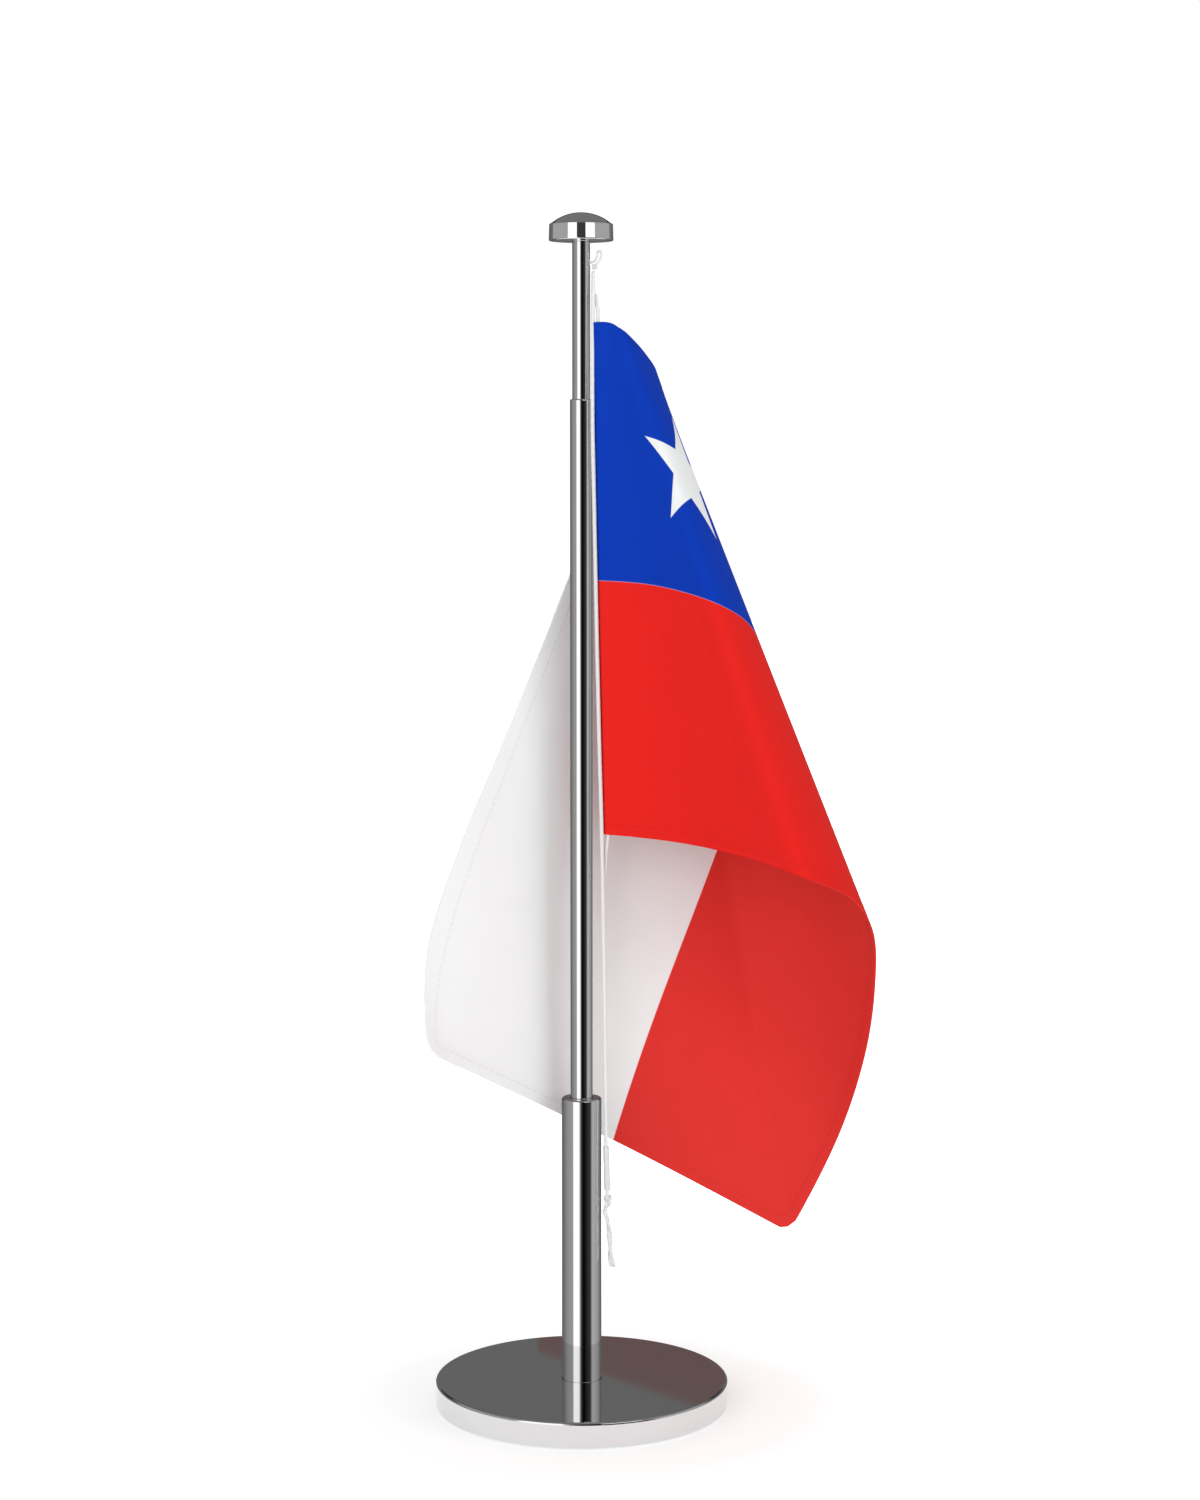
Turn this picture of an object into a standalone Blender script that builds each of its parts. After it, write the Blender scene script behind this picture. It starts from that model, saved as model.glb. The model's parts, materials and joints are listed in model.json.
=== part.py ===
"""Desk flag stand: a round foot, a telescopic pole of three tubes, a cap, and a table flag on a halyard cord.

Heights are in millimetres above the desk. +X is the side that the flag hangs on, -Y is the front,
and the pole's axis is the Z axis. The scene is in metres.
"""

import math

import bmesh
import bpy
import numpy as np
from mathutils import Vector

MM = 0.001
SEGMENTS = 40  # round pieces
EDGE_STEPS = 3  # segments in a rounded edge
SLIP = 0.05  # gap between pieces that are fastened together
END_GAP = 0.3  # gap between the ends of soft pieces

# Foot
FOOT_RADIUS = 44.0
FOOT_TOP = 8.3
FOOT_LIFT = 0.6  # the pad holds the disc this far off the desk
PAD_RADIUS = 39.5
PAD_THICKNESS = 1.2
TUBE_SEAT_DEPTH = 1.0
SCREW_WELL_RADIUS = 7.2
SCREW_WELL_CEILING = 5.25
SCREW_HOLE_RADIUS = 3.2
SCREW_RADIUS = 2.95

# Lower tube
LOWER_RADIUS = 5.95
LOWER_BORE = 4.45
LOWER_TOP = 94.1
LOWER_MOUTH = 3.5
LIP = 1.2  # thickness of a tube's turned-in rim
INSERT_TOP = 22.0
BUFFER_THICKNESS = 3.0
BUSH_LENGTH = 14.0

# Middle tube
MIDDLE_RADIUS = 3.3
MIDDLE_BORE = 2.95
MIDDLE_MOUTH = 2.69
MIDDLE_TOP = 301.6
COLLAR_LENGTH = 8.3
PLUG_FLANGE = 1.2
PLUG_GRIP = 8.5  # length of a plug inside its tube

# Top tube
TOP_RADIUS = 2.62
TOP_BORE = 2.2
TOP_DROP = 30.0  # how far the top tube can sink from where it stands
TOP_TUBE_TOP = 350.9
SLEEVE_LENGTH = 10.0
CORD_HOLE_HEIGHT = 341.1
CORD_HOLE_RADIUS = 1.0

# Cap
CAP_RADIUS = 9.45
CAP_BOTTOM = 347.4
CAP_TOP = 355.6
CAP_DOME_RADIUS = 13.7
CAP_SOCKET_TOP = 351.2
STUD_RADIUS = 1.3
STUD_TOP = 352.6

# Flag, cut 150 mm tall and 250 mm long, and its cord
FLAG_HEIGHT = 150.0
FLAG_LENGTH = 250.0
CLOTH_THICKNESS = 0.6
CLOTH_START = 2.8  # from the hoist fold; the sewn-in rope takes the rest
ROPE_FROM_FOLD = 1.5
FAN_ABOVE = 38.0  # the cloth's straight lines fan out from this far above the hoist's top
CORD_RADIUS = 0.6
SLEEVE_RADIUS = 0.92

# The cloth's edges as it hangs: distance along the edge from the hoist, then X, Y and height.
TOP_EDGE = (
    (0, 3.4, -2.2, 323.7),
    (5, 7.9, -4.3, 323.7),
    (10, 11.5, -5.5, 321.8),
    (16, 15, -2, 318.8),
    (24, 19, 3.5, 314.5),
    (36, 22.5, 12, 308.5),
    (56, 18, 16, 291),
    (82, 2.5, 15, 263),
    (115, -10.5, 11, 232),
    (150, -23.5, 7, 200),
    (185, -36, 0, 170),
    (218, -45.5, -8, 140),
    (250, -45, -19, 111.5),
)
BOTTOM_EDGE = (
    (0, 6.6, -2.2, 173.7),
    (25, 30, -11, 172),
    (50, 48, -29, 170),
    (75, 62, -47, 167),
    (100, 77, -34, 159),
    (125, 85, -16, 147),
    (155, 88, 6, 126),
    (185, 87, 26, 101),
    (218, 80, 43.5, 70.5),
    (250, 66, 51, 39.5),
)
FLY_MIDDLE = (9.5, 18, 77)

# Routes of the cords: X, Y and height.
HALYARD_ROUTE = (
    (3.6, -1.2, 338.6),
    (3.5, -2.2, 331),
    (3.4, -2.5, 322),
    (3.3, -2.7, 312),
    (3.3, -2.8, 302),
    (3.4, -2.8, 288),
    (3.8, -2.7, 270),
    (4.2, -2.7, 250),
    (4.7, -2.8, 225),
    (5.3, -3.0, 200),
    (5.9, -3.2, 178),
    (6.3, -3.1, 160),
    (6.5, -3.0, 144),
    (6.8, -2.7, 126),
    (7.0, -2.4, 106),
    (7.2, -2.4, 88),
    (7.4, -2.4, 74),
    (7.7, -2.3, 65.8),
)
TAIL_ROUTE = (
    (7.2, -2.2, 60.3),
    (7.8, -2.1, 57),
    (8.1, -2.0, 52),
    (8.8, -2.0, 47),
    (9.8, -2.1, 42.8),
)
ROPE_ABOVE = (
    (4.1, -1.0, 332),
    (4.8, -1.6, 328),
)
ROPE_BELOW = (
    (7.3, -1.9, 168),
    (7.0, -1.3, 161),
)
LOOP_ROUTE = (
    (1.4, 0.0, 341.1),
    (2.9, 0.0, 341.2),
    (4.0, -0.1, 341.6),
    (4.6, -0.2, 342.8),
    (4.9, -0.4, 344.1),
    (5.5, -0.5, 344.5),
    (5.9, -0.6, 343.4),
    (5.6, -0.8, 342.0),
    (4.5, -1.1, 340.6),
)
KNOT_CENTRE = (7.8, -2.3, 63.1)
KNOT_HALF_SIZE = (1.4, 1.3, 2.3)


def clear_scene():
    for thing in list(bpy.data.objects):
        bpy.data.objects.remove(thing, do_unlink=True)


def material(name, colour, metallic, roughness):
    made = bpy.data.materials.new(name)
    made.use_nodes = True
    shader = made.node_tree.nodes["Principled BSDF"]
    shader.inputs["Base Color"].default_value = (*colour, 1.0)
    shader.inputs["Metallic"].default_value = metallic
    shader.inputs["Roughness"].default_value = roughness
    made.diffuse_color = (*colour, 1.0)
    return made


def empty(name, height, parent=None):
    """An empty on the pole's axis, which stands for a moving body."""
    made = bpy.data.objects.new(name, None)
    bpy.context.scene.collection.objects.link(made)
    made.parent = parent
    lift = parent.location.z if parent else 0.0
    made.location = (0, 0, height * MM - lift)
    return made


def add(name, data, finish, parent):
    """Links an object whose data is in desk coordinates, with its origin on its parent's place."""
    made = bpy.data.objects.new(name, data)
    bpy.context.scene.collection.objects.link(made)
    data.materials.append(finish)
    made.parent = parent
    bpy.context.view_layer.update()
    if parent:
        made.matrix_parent_inverse = parent.matrix_world.inverted()
    return made


def smooth(mesh):
    mesh.shade_smooth()
    mesh.set_sharp_from_angle(angle=math.radians(35))


def turned(name, section, finish, parent, turn=360.0):
    """A solid made by turning a closed section of (radius, height) points about the pole's axis."""
    bm = bmesh.new()
    corners = [bm.verts.new((r * MM, 0, z * MM)) for r, z in section]
    if turn < 360.0:
        start = [bm.faces.new(corners)]
    else:
        start = [bm.edges.new((a, b)) for a, b in zip(corners, corners[1:] + corners[:1])]
        start = [edge for edge in start if max(abs(v.co.x) for v in edge.verts) > 0]
    bmesh.ops.spin(
        bm,
        geom=start,
        axis=(0, 0, 1),
        cent=(0, 0, 0),
        angle=math.radians(turn),
        steps=max(8, round(SEGMENTS * turn / 360.0)),
        use_merge=turn >= 360.0,
    )
    bmesh.ops.remove_doubles(bm, verts=bm.verts, dist=1e-6)
    loose = [face for face in bm.faces if face.calc_area() < 1e-14]
    bmesh.ops.delete(bm, geom=loose, context="FACES")
    bmesh.ops.recalc_face_normals(bm, faces=bm.faces)
    mesh = bpy.data.meshes.new(name)
    bm.to_mesh(mesh)
    bm.free()
    smooth(mesh)
    return add(name, mesh, finish, parent)


def rounded(corner, radius, start, end=None):
    """Points of a rounded corner: an arc about a centre, from the start angle to the end angle in degrees."""
    centre_r, centre_z = corner
    end = start - 90 if end is None else end
    angles = np.radians(np.linspace(start, end, EDGE_STEPS + 1))
    return [(centre_r + radius * math.cos(a), centre_z + radius * math.sin(a)) for a in angles]


def through(stations, points):
    """A smooth curve through points at given stations, as a function of the station."""
    at = np.asarray(stations, float)
    points = np.asarray(points, float)
    steps = np.diff(at)
    slopes = np.diff(points, axis=0) / steps[:, None]
    tangents = np.empty_like(points)
    weight = (steps[1:] / (steps[1:] + steps[:-1]))[:, None]
    tangents[1:-1] = weight * slopes[:-1] + (1 - weight) * slopes[1:]
    tangents[0] = 1.5 * slopes[0] - 0.5 * tangents[1]
    tangents[-1] = 1.5 * slopes[-1] - 0.5 * tangents[-2]

    def curve(station):
        i = int(np.clip(np.searchsorted(at, station, side="right") - 1, 0, len(at) - 2))
        u = (station - at[i]) / steps[i]
        return (
            (2 * u**3 - 3 * u**2 + 1) * points[i]
            + (u**3 - 2 * u**2 + u) * steps[i] * tangents[i]
            + (3 * u**2 - 2 * u**3) * points[i + 1]
            + (u**3 - u**2) * steps[i] * tangents[i + 1]
        )

    return curve


def evenly_along(route, spacing):
    """Points about this far apart on the smooth curve through a route."""
    route = np.asarray(route, float)
    stations = np.concatenate([[0], np.cumsum(np.linalg.norm(np.diff(route, axis=0), axis=1))])
    curve = through(stations, route)
    count = max(3, round(stations[-1] / spacing) + 1)
    return [curve(s) for s in np.linspace(0, stations[-1], count)]


def cord(name, points, radius, finish, parent):
    """A round cord along the points, with closed ends."""
    data = bpy.data.curves.new(name, "CURVE")
    data.dimensions = "3D"
    data.bevel_depth = radius * MM
    data.bevel_resolution = 2
    data.use_fill_caps = True
    data.render_resolution_u = 0
    line = data.splines.new("POLY")
    line.points.add(len(points) - 1)
    for point, place in zip(line.points, points):
        point.co = (*(MM * float(v) for v in place), 1.0)
    return add(name, data, finish, parent)


def cut(target, cutter):
    """Takes the cutter's shape out of the target, and hides the cutter."""
    cutter.hide_render = True
    cutter.display_type = "WIRE"
    boolean = target.modifiers.new("cut", "BOOLEAN")
    boolean.operation = "DIFFERENCE"
    boolean.solver = "EXACT"
    boolean.object = cutter


def prism(name, radius, length, centre, sides, along_x=False):
    """A cutter: a prism about a vertical or a sideways axis."""
    bm = bmesh.new()
    bmesh.ops.create_cone(
        bm,
        cap_ends=True,
        segments=sides,
        radius1=radius * MM,
        radius2=radius * MM,
        depth=length * MM,
    )
    mesh = bpy.data.meshes.new(name)
    bm.to_mesh(mesh)
    bm.free()
    made = bpy.data.objects.new(name, mesh)
    bpy.context.scene.collection.objects.link(made)
    made.location = [MM * v for v in centre]
    if along_x:
        made.rotation_euler = (0, math.radians(90), 0)
    return made


def make_finishes():
    return {
        "chrome": material("chrome", (0.62, 0.62, 0.63), 1.0, 0.06),
        "zinc": material("zinc_steel", (0.50, 0.51, 0.52), 1.0, 0.35),
        "brass": material("brass", (0.72, 0.53, 0.25), 1.0, 0.3),
        "black": material("black_plastic", (0.02, 0.02, 0.022), 0.0, 0.45),
        "rubber": material("rubber", (0.03, 0.03, 0.03), 0.0, 0.8),
        "felt": material("felt_pad", (0.05, 0.05, 0.055), 0.0, 0.95),
        "cord": material("cord_white", (0.88, 0.88, 0.87), 0.0, 0.75),
        "sleeve": material("sleeve_clear", (0.70, 0.71, 0.72), 0.0, 0.4),
        "flag": material("flag_print", (0.80, 0.04, 0.03), 0.0, 0.7),
    }


def make_foot(finish):
    turned(
        "desk_pad",
        [(0, 0), (PAD_RADIUS, 0), (PAD_RADIUS, PAD_THICKNESS), (0, PAD_THICKNESS)],
        finish["felt"],
        None,
    )
    recess = PAD_THICKNESS + END_GAP
    edge = 0.8
    turned(
        "base_disc",
        [
            (SCREW_HOLE_RADIUS, SCREW_WELL_CEILING),
            (SCREW_WELL_RADIUS, SCREW_WELL_CEILING),
            (SCREW_WELL_RADIUS, recess),
            (PAD_RADIUS + 0.4, recess),
            (PAD_RADIUS + 0.4, FOOT_LIFT),
            (FOOT_RADIUS - 0.4, FOOT_LIFT),
            (FOOT_RADIUS, FOOT_LIFT + 0.4),
            *reversed(rounded((FOOT_RADIUS - edge, FOOT_TOP - edge), edge, 90, 0)),
            (LOWER_RADIUS + 0.1, FOOT_TOP),
            (LOWER_RADIUS + 0.1, FOOT_TOP - TUBE_SEAT_DEPTH),
            (SCREW_HOLE_RADIUS, FOOT_TOP - TUBE_SEAT_DEPTH),
        ],
        finish["chrome"],
        None,
    )


def make_fasteners(finish):
    """The screw from below, its two washers and the threaded insert in the lower tube."""
    head_radius = 5.2
    head_bottom = PAD_THICKNESS + 0.5
    head_top = head_bottom + 2.0
    washer_bottom = head_top + SLIP
    flat_bottom = washer_bottom + 0.7 + SLIP
    screw_end = INSERT_TOP - 2.0
    screw = turned(
        "base_screw",
        [
            (0, head_bottom),
            (head_radius * 0.6, head_bottom),
            (head_radius, head_bottom + 1.2),
            (head_radius, head_top),
            (SCREW_RADIUS, head_top),
            (SCREW_RADIUS, screw_end - 0.8),
            (SCREW_RADIUS - 0.8, screw_end),
            (0, screw_end),
        ],
        finish["zinc"],
        None,
    )
    socket = prism("screw_socket_cutter", 2.0, 3.0, (0, 0, head_bottom - 0.1), 6)
    cut(screw, socket)
    turned(
        "lock_washer",
        [
            (SCREW_HOLE_RADIUS, washer_bottom),
            (5.0, washer_bottom),
            (5.0, washer_bottom + 0.7),
            (SCREW_HOLE_RADIUS, washer_bottom + 0.7),
        ],
        finish["zinc"],
        None,
        turn=344,
    )
    turned(
        "flat_washer",
        [
            (SCREW_HOLE_RADIUS, flat_bottom),
            (6.2, flat_bottom),
            (6.2, SCREW_WELL_CEILING - SLIP),
            (SCREW_HOLE_RADIUS, SCREW_WELL_CEILING - SLIP),
        ],
        finish["zinc"],
        None,
    )
    seat = FOOT_TOP - TUBE_SEAT_DEPTH + SLIP
    turned(
        "tube_insert",
        [
            (SCREW_RADIUS + 0.1, seat),
            (LOWER_BORE - SLIP, seat),
            (LOWER_BORE - SLIP, INSERT_TOP - 0.5),
            (LOWER_BORE - SLIP - 0.5, INSERT_TOP),
            (SCREW_RADIUS + 0.1, INSERT_TOP),
        ],
        finish["zinc"],
        None,
    )


def make_lower_tube(finish):
    edge = 0.55
    lip_bottom = LOWER_TOP - LIP
    seat = FOOT_TOP - TUBE_SEAT_DEPTH + SLIP
    turned(
        "lower_tube",
        [
            (LOWER_BORE, seat),
            (LOWER_RADIUS, seat),
            *reversed(rounded((LOWER_RADIUS - edge, LOWER_TOP - edge), edge, 90, 0)),
            *reversed(rounded((LOWER_MOUTH + 0.3, LOWER_TOP - 0.3), 0.3, 180, 90)),
            (LOWER_MOUTH, lip_bottom),
            (LOWER_BORE, lip_bottom),
        ],
        finish["chrome"],
        None,
    )
    buffer_bottom = INSERT_TOP + SLIP
    turned(
        "stop_buffer",
        [
            (0, buffer_bottom),
            (LOWER_BORE - 0.15, buffer_bottom),
            (LOWER_BORE - 0.15, buffer_bottom + BUFFER_THICKNESS),
            (0, buffer_bottom + BUFFER_THICKNESS),
        ],
        finish["rubber"],
        None,
    )
    bush_top = lip_bottom - SLIP
    bush_bottom = bush_top - BUSH_LENGTH
    turned(
        "guide_bush",
        [
            (MIDDLE_RADIUS + 0.08, bush_bottom + 0.6),
            (MIDDLE_RADIUS + 0.6, bush_bottom),
            (LOWER_BORE - SLIP, bush_bottom),
            (LOWER_BORE - SLIP, bush_top),
            (MIDDLE_RADIUS + 0.08, bush_top),
        ],
        finish["black"],
        None,
    )
    return bush_bottom


def make_plug(name, bottom, flange_radius, neck_radius, collar_length, grip_radius, finish, parent):
    """A plug that holds a friction collar against a tube's end. Returns the tube's bottom and the plug's top."""
    neck_bottom = bottom + PLUG_FLANGE
    tube_bottom = neck_bottom + collar_length + 2 * SLIP
    top = tube_bottom + PLUG_GRIP
    turned(
        name,
        [
            (0, bottom),
            (flange_radius - 0.3, bottom),
            (flange_radius, bottom + 0.3),
            (flange_radius, neck_bottom),
            (neck_radius, neck_bottom),
            (neck_radius, tube_bottom),
            (grip_radius, tube_bottom),
            (grip_radius, top - 0.4),
            (grip_radius - 0.4, top),
            (0, top),
        ],
        finish,
        parent,
    )
    return tube_bottom, top


def make_collar(name, bottom, length, inner, outer, finish, parent):
    """A split friction collar round a plug's neck."""
    turned(
        name,
        [
            (inner, bottom),
            (outer - 0.2, bottom),
            (outer, bottom + 0.3),
            (outer, bottom + length - 0.3),
            (outer - 0.2, bottom + length),
            (inner, bottom + length),
        ],
        finish,
        parent,
        turn=330,
    )


def make_middle(finish, slider, turner):
    bottom = INSERT_TOP + SLIP + BUFFER_THICKNESS + SLIP
    neck = 2.2
    tube_bottom, plug_top = make_plug(
        "middle_plug", bottom, 3.6, neck, COLLAR_LENGTH, MIDDLE_BORE - SLIP, finish["black"], turner
    )
    collar_bottom = bottom + PLUG_FLANGE + SLIP
    make_collar(
        "middle_spring",
        collar_bottom,
        COLLAR_LENGTH,
        neck + 0.08,
        LOWER_BORE - 0.07,
        finish["brass"],
        slider,
    )
    edge = 0.45
    lip_bottom = MIDDLE_TOP - LIP
    turned(
        "middle_tube",
        [
            (MIDDLE_BORE, tube_bottom + SLIP),
            (MIDDLE_RADIUS, tube_bottom + SLIP),
            *reversed(rounded((MIDDLE_RADIUS - edge, MIDDLE_TOP - edge), edge, 90, 0)),
            (MIDDLE_MOUTH, MIDDLE_TOP - 0.1),
            (MIDDLE_MOUTH, lip_bottom),
            (MIDDLE_BORE, lip_bottom - 0.3),
        ],
        finish["chrome"],
        turner,
    )
    return collar_bottom + COLLAR_LENGTH, plug_top, lip_bottom - 0.3


def make_top(finish, slider, turner, middle_plug_top):
    bottom = middle_plug_top + TOP_DROP + 0.2
    neck = 1.5
    tube_bottom, _ = make_plug(
        "top_plug", bottom, 2.5, neck, SLEEVE_LENGTH, TOP_BORE - SLIP, finish["brass"], turner
    )
    sleeve_bottom = bottom + PLUG_FLANGE + SLIP
    make_collar(
        "top_spring",
        sleeve_bottom,
        SLEEVE_LENGTH,
        neck + 0.08,
        MIDDLE_BORE - 0.07,
        finish["brass"],
        slider,
    )
    tube = turned(
        "top_tube",
        [
            (TOP_BORE, tube_bottom + SLIP),
            (TOP_RADIUS, tube_bottom + SLIP),
            (TOP_RADIUS, TOP_TUBE_TOP),
            (TOP_BORE, TOP_TUBE_TOP),
        ],
        finish["chrome"],
        turner,
    )
    hole = prism(
        "cord_hole_cutter",
        CORD_HOLE_RADIUS,
        3.0,
        (TOP_RADIUS + 0.3, 0, CORD_HOLE_HEIGHT),
        16,
        along_x=True,
    )
    cut(tube, hole)
    return sleeve_bottom + SLEEVE_LENGTH


def make_cap(finish, turner):
    insert_bottom = CORD_HOLE_HEIGHT + 3.0
    turned(
        "cap_insert",
        [
            (STUD_RADIUS + SLIP, insert_bottom),
            (TOP_BORE - SLIP, insert_bottom),
            (TOP_BORE - SLIP, TOP_TUBE_TOP - 0.1),
            (STUD_RADIUS + SLIP, TOP_TUBE_TOP - 0.1),
        ],
        finish["zinc"],
        turner,
    )
    turned(
        "cap_stud",
        [
            (0, insert_bottom + 0.5),
            (STUD_RADIUS, insert_bottom + 0.5),
            (STUD_RADIUS, STUD_TOP),
            (0, STUD_TOP),
        ],
        finish["zinc"],
        turner,
    )
    dome_edge = CAP_RADIUS - 0.35
    dome_centre = CAP_TOP - CAP_DOME_RADIUS
    shoulder = dome_centre + math.sqrt(CAP_DOME_RADIUS**2 - dome_edge**2)
    dome = []
    for step in range(7):
        radius = dome_edge * (1 - step / 7)
        dome.append((radius, dome_centre + math.sqrt(CAP_DOME_RADIUS**2 - radius**2)))
    turned(
        "cap_body",
        [
            (TOP_RADIUS + 0.08, CAP_BOTTOM),
            (CAP_RADIUS - 0.3, CAP_BOTTOM),
            (CAP_RADIUS, CAP_BOTTOM + 0.3),
            (CAP_RADIUS, shoulder - 0.5),
            (CAP_RADIUS - 0.1, shoulder - 0.2),
            *dome,
            (0, CAP_TOP),
            (0, STUD_TOP + 0.1),
            (STUD_RADIUS + SLIP, STUD_TOP + 0.1),
            (STUD_RADIUS + SLIP, CAP_SOCKET_TOP),
            (TOP_RADIUS + 0.08, CAP_SOCKET_TOP),
        ],
        finish["chrome"],
        turner,
    )


def hung_cloth():
    """Where the point that lies along and down from the hoist's top corner hangs."""
    top = through([row[0] for row in TOP_EDGE], [row[1:] for row in TOP_EDGE])
    bottom = through([row[0] for row in BOTTOM_EDGE], [row[1:] for row in BOTTOM_EDGE])
    fly = through(
        (0, FLAG_HEIGHT / 2, FLAG_HEIGHT),
        (TOP_EDGE[-1][1:], FLY_MIDDLE, BOTTOM_EDGE[-1][1:]),
    )
    corner = math.atan2(FLAG_LENGTH, FLAG_HEIGHT + FAN_ABOVE)

    def place(along, down):
        angle = math.atan2(along, down + FAN_ABOVE)
        reach = math.hypot(along, down + FAN_ABOVE)
        first = FAN_ABOVE / math.cos(angle)
        start = top(min(FAN_ABOVE * math.tan(angle), FLAG_LENGTH))
        if angle < corner:
            last = (FLAG_HEIGHT + FAN_ABOVE) / math.cos(angle)
            end = bottom((FLAG_HEIGHT + FAN_ABOVE) * math.tan(angle))
        else:
            last = FLAG_LENGTH / math.sin(angle)
            end = fly(max(FLAG_LENGTH / math.tan(angle) - FAN_ABOVE, 0))
        share = (reach - first) / max(last - first, 1e-6)
        return start + (end - start) * share

    return place


def make_flag(finish, turner):
    place = hung_cloth()
    columns, rows = 36, 16
    bm = bmesh.new()
    grid = []
    for i in range(columns + 1):
        along = CLOTH_START + (FLAG_LENGTH - CLOTH_START) * i / columns
        column = [place(along, FLAG_HEIGHT * j / rows) for j in range(rows + 1)]
        grid.append([bm.verts.new(Vector(point) * MM) for point in column])
    for left, right in zip(grid, grid[1:]):
        for a, b, c, d in zip(left, right, right[1:], left[1:]):
            bm.faces.new((a, b, c, d))
    mesh = bpy.data.meshes.new("flag_cloth")
    bm.to_mesh(mesh)
    bm.free()
    smooth(mesh)
    flag = add("flag_cloth", mesh, finish["flag"], turner)
    thicken = flag.modifiers.new("thickness", "SOLIDIFY")
    thicken.thickness = CLOTH_THICKNESS * MM
    thicken.offset = 0.0


def make_cords(finish, turner):
    place = hung_cloth()
    in_hem = [place(ROPE_FROM_FOLD, FLAG_HEIGHT * share) for share in (0.01, 0.2, 0.4, 0.6, 0.8, 0.99)]
    rope = [*ROPE_ABOVE, *in_hem, *ROPE_BELOW]
    spacing = 2.8 * 2 * CORD_RADIUS
    white = finish["cord"]
    cord("top_knot", evenly_along(LOOP_ROUTE, 1.0), CORD_RADIUS * 0.8, white, turner)
    halyard = evenly_along(HALYARD_ROUTE, 1.1 * spacing)
    cord("halyard_cord", halyard, CORD_RADIUS, white, turner)
    cord("hoist_rope", evenly_along(rope, 1.1 * spacing), CORD_RADIUS, white, turner)
    cord("cord_tail", evenly_along(TAIL_ROUTE, 1.6), CORD_RADIUS, white, turner)
    make_sleeve(finish, turner)
    make_knot(white, turner)


def make_sleeve(finish, turner):
    """A short tube round the cord, leaning as the cord leans."""
    bottom, top = 66.4, 79.6
    sleeve = turned(
        "cord_sleeve",
        [
            (CORD_RADIUS + 0.1, bottom),
            (SLEEVE_RADIUS, bottom),
            (SLEEVE_RADIUS, top),
            (CORD_RADIUS + 0.1, top),
        ],
        finish["sleeve"],
        turner,
    )
    low, high = Vector((7.66, -2.31, bottom)), Vector((7.32, -2.4, top))
    lean = Vector((0, 0, 1)).rotation_difference(high - low)
    middle = Vector((0, 0, (bottom + top) / 2))
    for vertex in sleeve.data.vertices:
        from_middle = vertex.co / MM - middle
        vertex.co = (lean @ from_middle + (low + high) / 2) * MM


def make_knot(white, turner):
    bm = bmesh.new()
    bmesh.ops.create_uvsphere(bm, u_segments=16, v_segments=10, radius=1.0)
    for vertex in bm.verts:
        for axis in range(3):
            vertex.co[axis] = (KNOT_CENTRE[axis] + vertex.co[axis] * KNOT_HALF_SIZE[axis]) * MM
    mesh = bpy.data.meshes.new("bottom_knot")
    bm.to_mesh(mesh)
    bm.free()
    smooth(mesh)
    add("bottom_knot", mesh, white, turner)


def main():
    clear_scene()
    finish = make_finishes()
    rest_height = INSERT_TOP + BUFFER_THICKNESS
    middle_slider = empty("middle_slider", rest_height)
    middle_turner = empty("middle_pole", rest_height, middle_slider)
    top_slider = empty("top_slider", MIDDLE_TOP, middle_turner)
    top_turner = empty("top_pole", MIDDLE_TOP, top_slider)
    bpy.context.view_layer.update()
    make_foot(finish)
    make_fasteners(finish)
    bush_bottom = make_lower_tube(finish)
    collar_top, plug_top, lip = make_middle(finish, middle_slider, middle_turner)
    sleeve_top = make_top(finish, top_slider, top_turner, plug_top)
    make_cap(finish, top_turner)
    make_flag(finish, top_turner)
    make_cords(finish, top_turner)
    print(f"middle tube rises {bush_bottom - collar_top:.1f} mm")
    print(f"top tube rises {lip - sleeve_top:.1f} mm and sinks {TOP_DROP:.1f} mm")


main()
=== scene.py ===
"""The finished look of the desk flag stand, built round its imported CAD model.

Routes and cloth edges are in millimetres above the desk, as in the part's own script. +X is the side
the flag hangs on, -Y is the front, and the pole's axis is the Z axis. The scene itself is in metres.
"""

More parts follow.
